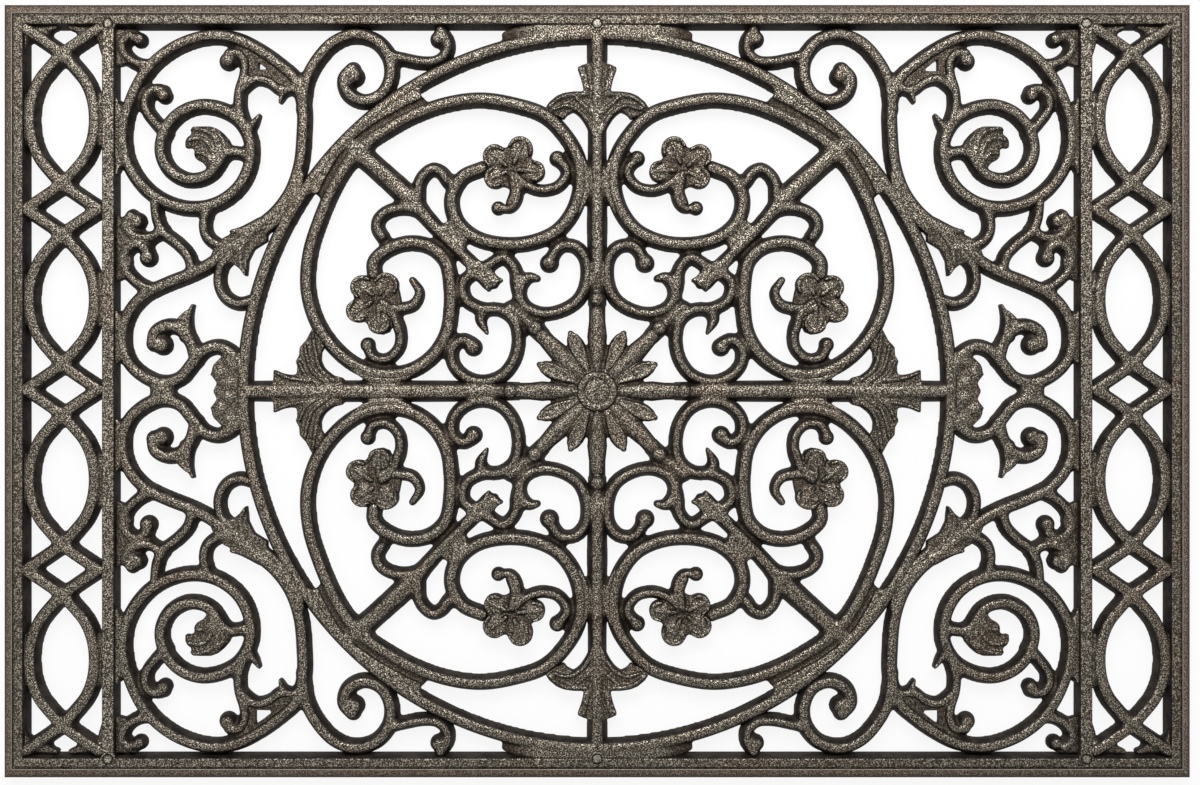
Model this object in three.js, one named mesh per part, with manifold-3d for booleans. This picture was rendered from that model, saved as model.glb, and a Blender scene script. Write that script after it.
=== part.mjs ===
// Cast iron door mat: a pierced scrollwork casting that stands on six riveted rubber feet.
// Millimetres, +Z up. X runs along the length and Y along the width of the mat.
// The origin is on the floor, below the middle of the mat.
import * as THREE from 'three';
import { mergeVertices } from 'three/addons/utils/BufferGeometryUtils.js';
import Module from 'manifold-3d';

const wasm = await Module();
wasm.setup();

// Overall sizes
const MAT_LENGTH = 712;
const MAT_WIDTH = 464;
const FOOT_HEIGHT = 3;
const CASTING_DEPTH = 10;
const ORNAMENT_DEPTH = 9;

// Outer rails, with their sloping outer edge
const RAIL_WIDTH = 11.4;
const BEVEL_WIDTH = 5.5;
const BEVEL_DROP = 4.5;

// Side borders: a lattice of crossed bows between the end rail and a plain divider bar
const BORDER_WIDTH = 48;
const DIVIDER_WIDTH = 8;
const LATTICE_RIB = 7;
const LATTICE_LENSES = 4;

// Medallion: the ring, the cross arms, the rosette and the tracery between them
const RING_WIDTH = 8.6;
const RING_WEB_LENGTH = 108;
const LOBE_RIB = 7.4;
const SCROLL_RIB = 6.3;
const TENDRIL_RIB = 5.2;
const HUB_DIAMETER = 24;
const HUB_RISE = 0.6;
const BUTTON_DIAMETER = 12;
const BUTTON_RISE = 0.4;
const PETAL_REACH = 39.5;
const PETAL_WIDTH = 8.4;
const FREE_PETALS = 8;
const PETAL_LEAN = THREE.MathUtils.degToRad(2.5);
const BOSS_DIAMETER = 8.6;
const BOSS_RISE = 1;
const BOSS_ALONG_UPRIGHT = 55;
const BOSS_ALONG_LEVEL = 52;

// Scrollwork outside the ring
const CORNER_RIB = 7.2;
const SIDE_RIB = 7.2;
const CURL_RIB = 6.2;
const WEB_DEPTH = 6;

// Feet and the rivets that hold them
const RIVET_DIAMETER = 5;
const RIVET_SETBACK = 0.6;
const LUG_WALL = 2.4;
const FOOT_DIAMETER = 16;
const FOOT_FLOOR = 1;
const FOOT_TAPER = 1;

// Clearances and the fineness of round stretches
const JOINT_GAP = 0.3;
const RIVET_CLEARANCE = 0.3;
const CURVE_TOLERANCE = 0.9;
const CURVE_TURN = THREE.MathUtils.degToRad(46);
const SAMPLES_PER_SPAN = 12;
const OUTLINE_TOLERANCE = 0.12;
const LEVEL_TOLERANCE = 0.001;
const WELD_DISTANCE = 0.0001;
const SHARPEST_LEAN = 0.5;
const SMALLEST_OPENING = 4;
const RING_SIDES = 56;
const WEB_SIDES = 8;
const BOSS_SIDES = 9;
const ROUND_SIDES = 16;

// Lines that follow from the sizes above
const HALF_LENGTH = MAT_LENGTH / 2;
const HALF_WIDTH = MAT_WIDTH / 2;
const UNDERSIDE = FOOT_HEIGHT;
const CASTING_TOP = UNDERSIDE + CASTING_DEPTH;
const RAIL_INNER_X = HALF_LENGTH - RAIL_WIDTH;
const RAIL_INNER_Y = HALF_WIDTH - RAIL_WIDTH;
const DIVIDER_OUTER_X = RAIL_INNER_X - BORDER_WIDTH;
const DIVIDER_INNER_X = DIVIDER_OUTER_X - DIVIDER_WIDTH;
const RIVET_Y = RAIL_INNER_Y - RIVET_SETBACK;
const RIVET_X = DIVIDER_OUTER_X - DIVIDER_WIDTH / 2;
const RIVET_HOLE_RADIUS = RIVET_DIAMETER / 2 + RIVET_CLEARANCE;
const LUG_RADIUS = RIVET_HOLE_RADIUS + LUG_WALL;

// The ornament is drawn in one quarter of the field between the dividers and the rails.
// The drawn quarter is this large, and it is stretched to the quarter that the mat has.
const DRAWN_HALF_LENGTH = 288.6;
const DRAWN_HALF_WIDTH = 220.6;
const DRAWN_RING_X = 212.2;
const STRETCH_X = DIVIDER_INNER_X / DRAWN_HALF_LENGTH;
const STRETCH_Y = RAIL_INNER_Y / DRAWN_HALF_WIDTH;
const GROWTH = Math.max(STRETCH_X, STRETCH_Y);
const RING_CENTRE_X = DRAWN_RING_X * STRETCH_X;
const RING_CENTRE_Y = RAIL_INNER_Y - RING_WIDTH / 2;

const QUADRANTS = [
  { side: 'upper_right', x: 1, y: 1 },
  { side: 'upper_left', x: -1, y: 1 },
  { side: 'lower_left', x: -1, y: -1 },
  { side: 'lower_right', x: 1, y: -1 },
];

// Materials
const iron = { color: 0x5f5548, roughness: 0.55, metalness: 0.85 };
const rubber = { color: 0x1c1c1c, roughness: 0.9, metalness: 0 };
const steel = { color: 0x8a8277, roughness: 0.4, metalness: 0.9 };

// Solids: each closed geometry becomes a manifold, which joins and cuts

function solidOf(geometry) {
  geometry.deleteAttribute('normal');
  geometry.deleteAttribute('uv');
  const welded = mergeVertices(geometry, WELD_DISTANCE);
  const vertProperties = new Float32Array(welded.attributes.position.array);
  const triVerts = new Uint32Array(welded.index.array);
  return new wasm.Manifold(new wasm.Mesh({ numProp: 3, vertProperties, triVerts }));
}

function joined(solids) {
  return solids.reduce((whole, solid) => whole.add(solid));
}

function cut(solid, cutters) {
  return cutters.reduce((rest, cutter) => rest.subtract(cutter), solid);
}

function meshOf(name, solid, look) {
  const mesh = solid.getMesh();
  const geometry = new THREE.BufferGeometry();
  geometry.setAttribute('position', new THREE.BufferAttribute(mesh.vertProperties, 3));
  geometry.setIndex(new THREE.BufferAttribute(mesh.triVerts, 1));
  geometry.computeVertexNormals();
  const piece = new THREE.Mesh(geometry, new THREE.MeshStandardMaterial(look));
  piece.name = name;
  return piece;
}

// Outlines: closed lists of points in the plane of the mat

function counterClockwise(outline) {
  return THREE.ShapeUtils.area(outline) < 0 ? outline.slice().reverse() : outline;
}

function prism(outline, bottom, depth, holes = []) {
  const shape = new THREE.Shape(counterClockwise(outline));
  shape.holes = holes.map((hole) => new THREE.Path(hole));
  const geometry = new THREE.ExtrudeGeometry(shape, { depth, bevelEnabled: false });
  geometry.translate(0, 0, bottom);
  return solidOf(geometry);
}

// The same outline moved outward all round, for the recess that a neighbour leaves for it
function grown(outline, margin) {
  const ring = counterClockwise(outline);
  return ring.map((point, i) => {
    const before = ring[(i + ring.length - 1) % ring.length];
    const after = ring[(i + 1) % ring.length];
    const inward = point.clone().sub(before).normalize();
    const onward = after.clone().sub(point).normalize();
    const normal = new THREE.Vector2(inward.y + onward.y, -inward.x - onward.x).normalize();
    const lean = Math.max(SHARPEST_LEAN, normal.x * inward.y - normal.y * inward.x);
    return point.clone().addScaledVector(normal, margin / lean);
  });
}

// A tool that clears an outline and the joint gap around it right through the casting
function clearing(outline) {
  return prism(grown(outline, JOINT_GAP), UNDERSIDE - CASTING_DEPTH, 3 * CASTING_DEPTH);
}

function disc(x, y, radius, sides) {
  return Array.from({ length: sides }, (_, i) => {
    const angle = (2 * Math.PI * (i + 0.5)) / sides;
    return new THREE.Vector2(x + radius * Math.cos(angle), y + radius * Math.sin(angle));
  });
}

function rectangle(left, right, bottom, top) {
  return [[left, bottom], [right, bottom], [right, top], [left, top]].map(([x, y]) => new THREE.Vector2(x, y));
}

function ellipse(radiusX, radiusY) {
  return Array.from({ length: RING_SIDES }, (_, i) => {
    const angle = (2 * Math.PI * i) / RING_SIDES;
    return new THREE.Vector2(radiusX * Math.cos(angle), radiusY * Math.sin(angle));
  });
}

// Keeps as few points as the tolerance allows: each chord runs on until it would miss the
// line by too much, or until the line has turned too far at once
function thinned(items, tolerance, pointOf, turnsTooFar) {
  const foot = new THREE.Vector3();
  const fits = (first, last) => {
    if (turnsTooFar(items[first], items[last])) return false;
    const chord = new THREE.Line3(pointOf(items[first]), pointOf(items[last]));
    return items.slice(first + 1, last).every((item) => (
      chord.closestPointToPoint(pointOf(item), true, foot).distanceTo(pointOf(item)) < tolerance
    ));
  };
  const kept = [items[0]];
  let first = 0;
  for (let last = 2; last < items.length; last += 1) {
    if (!fits(first, last)) {
      first = last - 1;
      kept.push(items[first]);
    }
  }
  return [...kept, items[items.length - 1]];
}

// The closed lines round the top face of a flat body: counter-clockwise round its outside,
// and clockwise round its openings
function topLoops(solid) {
  const { vertProperties, triVerts } = solid.getMesh();
  const vertex = (i) => new THREE.Vector3(...vertProperties.slice(3 * i, 3 * i + 3));
  const top = solid.boundingBox().max[2];
  const edges = new Map();
  for (let i = 0; i < triVerts.length; i += 3) {
    const corners = Array.from(triVerts.slice(i, i + 3));
    if (corners.every((corner) => vertProperties[3 * corner + 2] > top - LEVEL_TOLERANCE)) {
      corners.forEach((corner, k) => edges.set(`${corner} ${corners[(k + 1) % 3]}`, corner));
    }
  }
  const next = new Map();
  for (const edge of edges.keys()) {
    const [from, to] = edge.split(' ');
    if (!edges.has(`${to} ${from}`)) next.set(Number(from), Number(to));
  }
  const loops = [];
  while (next.size > 0) {
    const [start] = next.keys();
    const loop = [];
    let at = start;
    while (next.has(at)) {
      loop.push(vertex(at));
      const to = next.get(at);
      next.delete(at);
      at = to;
    }
    const tidy = thinned([...loop, loop[0]], OUTLINE_TOLERANCE, (point) => point, () => false);
    loops.push(tidy.slice(0, -1).map((point) => new THREE.Vector2(point.x, point.y)));
  }
  return loops.filter((loop) => Math.abs(THREE.ShapeUtils.area(loop)) > SMALLEST_OPENING);
}

// Whether a closed outline goes round a point
function goesRound(outline, point) {
  const crossed = outline.filter((to, i) => {
    const from = outline[(i + outline.length - 1) % outline.length];
    if (from.y > point.y === to.y > point.y) return false;
    return point.x < from.x + ((point.y - from.y) * (to.x - from.x)) / (to.y - from.y);
  });
  return crossed.length % 2 === 1;
}

// Joins flat outlines into one body of even depth and cuts it, with plain faces above and below
function plate(outlines, depth, cutters) {
  const rough = cut(joined(outlines.map((outline) => prism(outline, UNDERSIDE, depth))), cutters);
  const loops = topLoops(rough);
  const outsides = loops.filter((loop) => THREE.ShapeUtils.area(loop) > 0);
  const openings = loops.filter((loop) => THREE.ShapeUtils.area(loop) < 0);
  return joined(outsides.map((outside) => (
    prism(outside, UNDERSIDE, depth, openings.filter(([point]) => goesRound(outside, point)))
  )));
}

// A rib: its centre line goes smoothly through the points, and its width goes evenly
// through the widths from one end to the other. Both ends are round.
function ribOutline(points, widths) {
  const knots = points.map((point) => new THREE.Vector3(point.x, point.y, 0));
  const curve = new THREE.CatmullRomCurve3(knots, false, 'centripetal');
  const steps = SAMPLES_PER_SPAN * (points.length - 1);
  const samples = Array.from({ length: steps + 1 }, (_, i) => {
    const t = i / steps;
    const place = t * (widths.length - 1);
    const from = Math.min(Math.floor(place), Math.max(widths.length - 2, 0));
    const to = Math.min(from + 1, widths.length - 1);
    const width = THREE.MathUtils.lerp(widths[from], widths[to], place - from);
    return { point: curve.getPoint(t), tangent: curve.getTangent(t), half: width / 2 };
  });
  const bent = (from, to) => from.tangent.angleTo(to.tangent) > CURVE_TURN;
  const kept = thinned(samples, CURVE_TOLERANCE, (sample) => sample.point, bent);
  const across = ({ point, tangent, half }, side) => (
    new THREE.Vector2(point.x - side * half * tangent.y, point.y + side * half * tangent.x)
  );
  const nose = ({ point, tangent, half }, side) => [-1, 0, 1].map((turn) => {
    const angle = Math.atan2(tangent.y, tangent.x) + (turn * Math.PI) / 4;
    const reach = side * half;
    return new THREE.Vector2(point.x + reach * Math.cos(angle), point.y + reach * Math.sin(angle));
  });
  return [
    ...kept.map((sample) => across(sample, -1)),
    ...nose(kept[kept.length - 1], 1),
    ...kept.slice().reverse().map((sample) => across(sample, 1)),
    ...nose(kept[0], -1),
  ];
}

// Places drawn points in one quarter of the mat
function onField(drawn, quadrant) {
  return drawn.map(([x, y]) => new THREE.Vector2(quadrant.x * x * STRETCH_X, quadrant.y * y * STRETCH_Y));
}

// A drawn section has ribs, round bosses and flat leaves. This gives its outlines, with the
// ribs and bosses grown as far as the field is stretched, so that they still meet.
function sectionOutlines(section, quadrant) {
  const ribs = section.ribs.map(({ widths, line }) => (
    ribOutline(onField(line, quadrant), widths.map((width) => width * GROWTH))
  ));
  const bosses = section.bosses.map(([x, y, radius]) => {
    const [centre] = onField([[x, y]], quadrant);
    return disc(centre.x, centre.y, radius * GROWTH, BOSS_SIDES);
  });
  const leaves = section.leaves.map((leaf) => onField(leaf, quadrant));
  return [...ribs, ...bosses, ...leaves];
}

// Tracery of one quarter of the medallion: two lobes that end in flowers, the scrolls
// around the heart-shaped opening, the diagonal strut, and the spoke from the rosette.
const TRACERY = {
  ribs: [
    // Upper lobe
    {
      widths: [LOBE_RIB],
      line: [
        [150, 139], [141, 149], [128, 158], [110, 168], [90, 175], [70, 177.5], [50, 174.5], [33, 166.5],
        [21, 154], [13.5, 141], [10.2, 127], [14, 111], [24, 98.2], [40, 91.2], [58, 90.2], [73.5, 94.3], [84.5, 104.2],
        [87.5, 118], [81, 130.5], [69, 136],
      ],
    },
    // Side lobe
    {
      widths: [LOBE_RIB],
      line: [
        [134, 72], [134, 79.5], [126, 87], [113, 91], [100, 88.5], [91, 80], [88, 65], [88, 50], [90.5, 36],
        [99, 22.5], [113, 13.5], [130, 12], [144, 16.5], [157, 26.5], [168, 42], [174, 62], [173, 84],
        [167, 104], [158.5, 124], [150, 138], [138, 150],
      ],
    },
    // Diagonal strut
    { widths: [13, 13, 13, 14, 15, 9, 7, 6], line: [[146, 148], [129, 133], [112, 118], [92, 93], [70, 73]] },
    // Spoke from the rosette
    { widths: [4, 9, 10, 10, 7], line: [[8, 8], [20, 21.5], [37.5, 40], [50, 50]] },
    // Scroll beside the upright arm, with its side curl
    {
      widths: [SCROLL_RIB],
      line: [
        [28, 81], [22, 89], [13, 88.7], [7, 81.5], [6.3, 68], [11, 57], [21, 50.3], [33, 48.3], [43.5, 53],
        [48, 64], [49.3, 75], [56, 82], [66, 77],
      ],
    },
    { widths: [SCROLL_RIB, SCROLL_RIB, 3], line: [[47, 58], [45.5, 66], [41, 70], [36, 69.5]] },
    // Scroll beside the level arm
    {
      widths: [SCROLL_RIB],
      line: [
        [75, 30], [81, 32.5], [87, 27], [86.5, 18], [80, 10.5], [69, 7.2], [57, 11], [49.5, 21], [47.3, 34],
        [50, 44.5], [58, 50.5], [70, 51.5], [79, 57], [80.5, 67], [73, 74],
      ],
    },
    // Tendrils and hooks of the flowers
    { widths: [TENDRIL_RIB], line: [[23, 141], [18, 134], [23, 125.5], [33, 122.8], [42, 125.5], [49, 131]] },
    { widths: [TENDRIL_RIB, 5, 3], line: [[49, 131], [48, 119], [52, 112], [58, 111.5]] },
    { widths: [TENDRIL_RIB], line: [[138, 29], [134.5, 22], [126, 21], [119, 28], [118.5, 39], [122.5, 47], [130, 52]] },
    { widths: [6, TENDRIL_RIB, 3], line: [[130, 52], [120, 51.3], [110.5, 53.5], [106.7, 61], [111, 68.5]] },
    // Ears beside the strut
    { widths: [TENDRIL_RIB], line: [[86, 126], [90, 133.5], [98, 136], [104.5, 131], [107, 118]] },
    { widths: [TENDRIL_RIB], line: [[107, 108], [115, 111], [124, 109.8], [131, 103.5], [130.5, 95], [123, 89]] },
  ],
  bosses: [
    [27.5, 78.5, 5.5], [74.5, 28, 5.5], [24, 142, 4.8], [138, 29.5, 4.5],
    // Flower petals
    [46, 147, 7.3], [61, 142.5, 7.3], [38, 134, 6.3], [60, 131, 6.5], [50, 136, 7.5],
    [127, 65, 7.5], [141, 65, 6.8], [144, 50, 6.5], [130, 43, 7], [135, 56, 7.5],
  ],
  leaves: [
    // Palmate leaf under the strut
    [[80, 80], [71, 79.5], [64, 75.5], [57.5, 68.5], [64.5, 69.5], [65.5, 62.5], [71, 68], [77, 70]],
    // Thorn in the heart-shaped opening's foot
    [[60, 50], [73, 50], [66, 36]],
  ],
};

// Corner scroll: the stem from the ring, the spiral, its curls and the leaf cluster
const CORNER_SCROLL = {
  ribs: [
    // Spiral
    {
      widths: [CORNER_RIB, CORNER_RIB, CORNER_RIB, CORNER_RIB, CORNER_RIB, CORNER_RIB, 6],
      line: [
        [212, 95], [203, 101], [193, 109.5], [184, 122], [178.5, 138], [176.6, 156], [176.6, 174], [181, 189],
        [191.3, 198.7], [204, 207.6], [218, 214.2], [233, 215.6], [249, 211.3], [262.5, 203], [272, 192.7], [279, 179.5],
        [284, 163], [284, 147], [279.5, 134.5], [270, 122.5], [258, 115], [243, 111.8], [228, 115], [215.5, 124.5],
        [208.8, 138], [208.5, 153], [215, 165], [226, 171.7], [239, 173.6], [251, 169], [259.5, 159],
        [262, 146], [257, 135.2], [247, 129.3], [236, 131], [228, 140], [227, 150],
      ],
    },
    // Large curl against the rail
    {
      widths: [CORNER_RIB],
      line: [
        [177, 172], [174.5, 189], [168, 201.5], [158, 212], [146, 216.3], [133, 213], [125, 203], [124, 191],
        [129.5, 180.5], [140, 176.5], [149.5, 181], [152, 190], [147, 196],
      ],
    },
    // Small curl that hangs from the rail
    {
      widths: [CURL_RIB],
      line: [[125, 204], [116, 202], [105, 200], [96, 200.8], [90.3, 206], [90, 213], [94, 219]],
    },
    // Curl into the corner of the field
    { widths: [CURL_RIB], line: [[268, 198], [277, 199.5], [283.5, 204.5], [285, 211], [280.5, 216]] },
    // Curl between the turns of the spiral
    { widths: [CURL_RIB], line: [[258, 158], [266, 167], [270.5, 174.5], [267.5, 181.5], [260.5, 182.5]] },
    // Branch with a curled tip
    {
      widths: [CURL_RIB],
      line: [[211, 160], [215, 173], [214.5, 183], [211.8, 192], [211.3, 199], [214.8, 204.8], [221, 205]],
    },
    // Arched leaf edge beside the branch
    { widths: [4.5, 5, 5], line: [[181, 184], [190, 183], [197, 188], [205, 189.5], [213, 184]] },
    // Curl from the leaf cluster up to the spiral
    { widths: [CURL_RIB], line: [[216, 88], [227, 89.5], [234, 94.5], [236, 102], [234, 111]] },
    // Loop from the leaf cluster down to the ring
    {
      widths: [CURL_RIB],
      line: [[220, 84], [226, 76], [227, 66], [223, 58], [215.5, 54.3], [206, 56.5]],
    },
    // Bridge that steadies the bud
    { widths: [6], line: [[209, 145], [218, 144.5], [227, 146]] },
  ],
  bosses: [
    [146, 191.5, 6.3], [95.5, 214, 5], [275, 213.5, 4.6], [257.5, 178.5, 3.8], [221.2, 200.5, 5],
    // Bud
    [232, 152, 7.5], [238, 156, 5.5], [236, 145, 4.5],
  ],
  leaves: [
    // Leaf cluster beside the ring
    [
      [199, 107.5], [206, 105], [213, 100.5], [219.8, 99], [220, 96], [224, 94.5], [231, 86], [234, 78],
      [226, 77], [219, 78.5], [215, 75.5], [210.3, 70.5], [209.5, 80], [206, 87], [198, 92],
    ],
    // Thorn on the spiral
    [[206, 157], [202, 168.5], [209.5, 166.7], [214, 161]],
    // Thorn under the arched leaf edge
    [[185, 186], [187, 179], [190.8, 174.5], [193, 186]],
    // Tips of the bud
    [[238, 160], [246, 155], [246, 148], [240, 150]],
  ],
  // Thin web in the crook of the branch, with its pinhole
  web: [[181, 183], [192, 184.5], [203, 189], [213, 186], [213, 206], [208, 211], [196, 204], [185, 194]],
  webHole: [202.3, 195.7, 2.3],
};

// Side scroll: one half of it, on one side of the mat's long axis
const SIDE_SCROLL = {
  ribs: [
    // Main scroll
    {
      widths: [SIDE_RIB],
      line: [
        [222, 87], [231, 79], [244, 72], [259, 66], [272, 59.3], [281.5, 48], [285, 33], [281.5, 19.5], [272, 10.5],
        [261, 6.5], [251, 9], [243, 18], [236, 26], [227, 28.3], [218, 23], [213, 14],
      ],
    },
    // Inner spiral
    { widths: [SIDE_RIB], line: [[241, 20], [244, 31], [249.5, 38.5], [258, 40.8], [265.5, 37], [267, 30]] },
    // Link to the corner scroll
    {
      widths: [CURL_RIB],
      line: [[265.5, 117], [264.3, 106], [261, 98], [252, 90.5], [245.5, 83], [243, 72]],
    },
    // Curls against the divider bar
    { widths: [CURL_RIB], line: [[261, 99], [268, 94.2], [277, 95], [283, 101], [280, 107.5]] },
    { widths: [CURL_RIB], line: [[266, 62], [276, 67], [283, 75], [284, 84], [277, 90.3], [270.5, 87]] },
    // Leaf lump on the ring's outer side
    { widths: [7, 10], line: [[217, 17], [221, 10], [218, 3]] },
  ],
  bosses: [
    [261.5, 29.3, 6.3], [276.5, 104, 5.6], [270, 82, 5.6], [225.5, 10.5, 5.8],
  ],
  leaves: [
    // Thorn over the inner spiral
    [[239.5, 27], [243.3, 40], [243, 46.5], [241, 54], [246.5, 51.5], [250.5, 46], [253, 41], [247, 30]],
    // Bridge across the long axis
    [[254, 8], [254, -1], [268, -1], [268, 8]],
  ],
};

// Half outlines of the cross arms, from the rosette out to the ring
const UPRIGHT_ARM = [
  [1.5, 8], [4.3, 26], [5.3, 42], [6.3, 100], [5.5, 148], [5.8, 157], [9.5, 165], [14.5, 168.6], [19, 166],
  [21.5, 163], [27, 166], [32.5, 170.5], [29, 175.5], [24, 180.5], [16, 182], [9, 181], [7.6, 185], [9, 190],
  [12, 196.5], [6.8, 199], [6.5, 205], [8.5, 210], [8.5, 216],
];
const LEVEL_ARM = [
  [8, 1.5], [26, 4.3], [41, 5.5], [95, 7.2], [140, 8.2], [152, 9], [159, 10.3], [164, 13.5], [166.5, 18],
  [166, 23], [162.5, 27.5], [165, 33], [168.5, 37.5], [171.5, 32], [176, 28], [177, 23], [178.5, 19],
  [177.5, 11.5], [186, 12], [194, 14.5], [194.3, 10], [204, 9], [212, 9],
];

// Small boss on each spoke of the rosette
const SPOKE_BOSS = [37.5, 41];

// Half a bow of the border lattice, from its end to its middle: across and along the border
const HALF_BOW = [[-22, 0], [-10, 9], [0, 16.8], [8, 25], [13.8, 32], [18, 42], [19.5, 55]];
const DRAWN_LENS_LENGTH = 110;
const DRAWN_BORDER_WIDTH = 48;

// Rails

const lugOutlines = [];
for (const y of [-RIVET_Y, RIVET_Y]) {
  for (const x of [-RIVET_X, 0, RIVET_X]) {
    lugOutlines.push({ x, y, outline: disc(x, y, LUG_RADIUS, ROUND_SIDES) });
  }
}

// Wedges that slope the outer edge of the four rails
function bevelWedges() {
  const reach = MAT_LENGTH;
  return QUADRANTS.map((quadrant, i) => {
    const profile = new THREE.Shape([
      new THREE.Vector2(-BEVEL_WIDTH, 0),
      new THREE.Vector2(BEVEL_WIDTH, -2 * BEVEL_DROP),
      new THREE.Vector2(BEVEL_WIDTH, BEVEL_DROP),
      new THREE.Vector2(-BEVEL_WIDTH, BEVEL_DROP),
    ]);
    const wedge = new THREE.ExtrudeGeometry(profile, { depth: 2 * reach, bevelEnabled: false });
    wedge.translate(0, 0, -reach);
    wedge.rotateX(Math.PI / 2);
    wedge.translate(i % 2 === 0 ? HALF_LENGTH : HALF_WIDTH, 0, CASTING_TOP);
    wedge.rotateZ((i * Math.PI) / 2);
    return solidOf(wedge);
  });
}

const wedges = bevelWedges();
const rivetHoles = lugOutlines.map(({ x, y }) => (
  prism(disc(x, y, RIVET_HOLE_RADIUS, ROUND_SIDES), 0, 2 * CASTING_TOP)
));

const railOutlines = {
  upper_rail: rectangle(-HALF_LENGTH, HALF_LENGTH, RAIL_INNER_Y, HALF_WIDTH),
  lower_rail: rectangle(-HALF_LENGTH, HALF_LENGTH, -HALF_WIDTH, -RAIL_INNER_Y),
  left_rail: rectangle(-HALF_LENGTH, -RAIL_INNER_X, -RAIL_INNER_Y, RAIL_INNER_Y),
  right_rail: rectangle(RAIL_INNER_X, HALF_LENGTH, -RAIL_INNER_Y, RAIL_INNER_Y),
};

function railSolid(name) {
  const bar = prism(railOutlines[name], UNDERSIDE, CASTING_DEPTH);
  const sign = { upper_rail: 1, lower_rail: -1 }[name] ?? 0;
  const lugs = lugOutlines.filter(({ y }) => y * sign > 0);
  const whole = joined([bar, ...lugs.map(({ outline }) => prism(outline, UNDERSIDE, CASTING_DEPTH))]);
  return cut(whole, [...wedges, ...rivetHoles]);
}

const railClearings = Object.values(railOutlines).map(clearing);
const lugClearings = lugOutlines.map(({ outline }) => clearing(outline));

// Divider bars

function dividerOutline(side) {
  return rectangle(side * DIVIDER_INNER_X, side * DIVIDER_OUTER_X, -RAIL_INNER_Y, RAIL_INNER_Y);
}

// Border lattice: in each lens a bow and its mirror image, which cross at both of its ends

function bowOutline(side, hand, lens) {
  const middle = DIVIDER_OUTER_X + BORDER_WIDTH / 2;
  const lensLength = (2 * RAIL_INNER_Y) / LATTICE_LENSES;
  const start = -RAIL_INNER_Y + lens * lensLength;
  const acrossScale = BORDER_WIDTH / DRAWN_BORDER_WIDTH;
  const alongScale = lensLength / DRAWN_LENS_LENGTH;
  const mirrored = HALF_BOW.slice(0, -1).reverse().map(([across, along]) => [across, DRAWN_LENS_LENGTH - along]);
  const points = [...HALF_BOW, ...mirrored].map(([across, along]) => (
    new THREE.Vector2(side * (middle + hand * across * acrossScale), start + along * alongScale)
  ));
  return ribOutline(points, [LATTICE_RIB]);
}

function latticeSolid(side) {
  const bows = [];
  for (let lens = 0; lens < LATTICE_LENSES; lens += 1) {
    bows.push(bowOutline(side, 1, lens), bowOutline(side, -1, lens));
  }
  return plate(bows, ORNAMENT_DEPTH, [...railClearings, ...lugClearings, clearing(dividerOutline(side))]);
}

// Medallion ring, with the webs that fill the gap to the upper and lower rails

function ringBand(margin) {
  const outer = ellipse(RING_CENTRE_X + RING_WIDTH / 2 + margin, RING_CENTRE_Y + RING_WIDTH / 2 + margin);
  const inner = ellipse(RING_CENTRE_X - RING_WIDTH / 2 - margin, RING_CENTRE_Y - RING_WIDTH / 2 - margin);
  return { outer, inner };
}

// A web reaches from the rail down to the ring's centre line
function webOutline(sign) {
  const half = (RING_WEB_LENGTH / 2) * STRETCH_X;
  const arc = Array.from({ length: WEB_SIDES + 1 }, (_, i) => {
    const x = half - (2 * half * i) / WEB_SIDES;
    return new THREE.Vector2(x, sign * RING_CENTRE_Y * Math.sqrt(1 - (x / RING_CENTRE_X) ** 2));
  });
  return [new THREE.Vector2(-half, sign * RAIL_INNER_Y), new THREE.Vector2(half, sign * RAIL_INNER_Y), ...arc];
}

function ringSolid() {
  const { outer, inner } = ringBand(0);
  const band = prism(outer, UNDERSIDE, ORNAMENT_DEPTH, [inner]);
  const webs = [1, -1].map((sign) => prism(webOutline(sign), UNDERSIDE, ORNAMENT_DEPTH));
  return cut(joined([band, ...webs]), [...railClearings, ...lugClearings]);
}

function ringClearing() {
  const { outer, inner } = ringBand(JOINT_GAP);
  const band = prism(outer, UNDERSIDE - CASTING_DEPTH, 3 * CASTING_DEPTH, [inner]);
  return joined([band, ...[1, -1].map((sign) => clearing(webOutline(sign)))]);
}

// Centre rosette: a stepped hub and the petals that stand free between the arms and spokes

// One side of a petal: how far along its reach, and what share of its half width
const PETAL_SIDE = [[0.2, 0.45], [0.55, 0.85], [0.8, 1], [0.94, 0.7], [1, 0]];

function petalOutline(index) {
  const side = PETAL_SIDE.map(([along, across]) => [along * PETAL_REACH, (across * PETAL_WIDTH) / 2]);
  const lean = index % 2 === 0 ? PETAL_LEAN : -PETAL_LEAN;
  const angle = (2 * Math.PI * (index + 0.5)) / FREE_PETALS + lean;
  const outline = [...side.map(([x, y]) => [x, -y]), ...side.slice(0, -1).reverse()];
  return outline.map(([x, y]) => new THREE.Vector2(x, y).rotateAround(new THREE.Vector2(), angle));
}

const petalOutlines = Array.from({ length: FREE_PETALS }, (_, index) => petalOutline(index));
const hubOutline = disc(0, 0, HUB_DIAMETER / 2, ROUND_SIDES);

function rosetteSolid() {
  const petals = plate([hubOutline, ...petalOutlines], ORNAMENT_DEPTH, []);
  const hub = prism(hubOutline, UNDERSIDE, ORNAMENT_DEPTH + HUB_RISE);
  const button = prism(
    disc(0, 0, BUTTON_DIAMETER / 2, ROUND_SIDES), UNDERSIDE, ORNAMENT_DEPTH + HUB_RISE + BUTTON_RISE,
  );
  return joined([petals, hub, button]);
}

// Cross arms, with a leafy finial before the ring and a small boss near the rosette

function armOutline(half, upright, sign) {
  const mirror = half.map(([x, y]) => (upright ? [-x, y] : [x, -y])).reverse();
  const quadrant = upright ? { x: 1, y: sign } : { x: sign, y: 1 };
  return onField([...half, ...mirror], quadrant);
}

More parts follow.
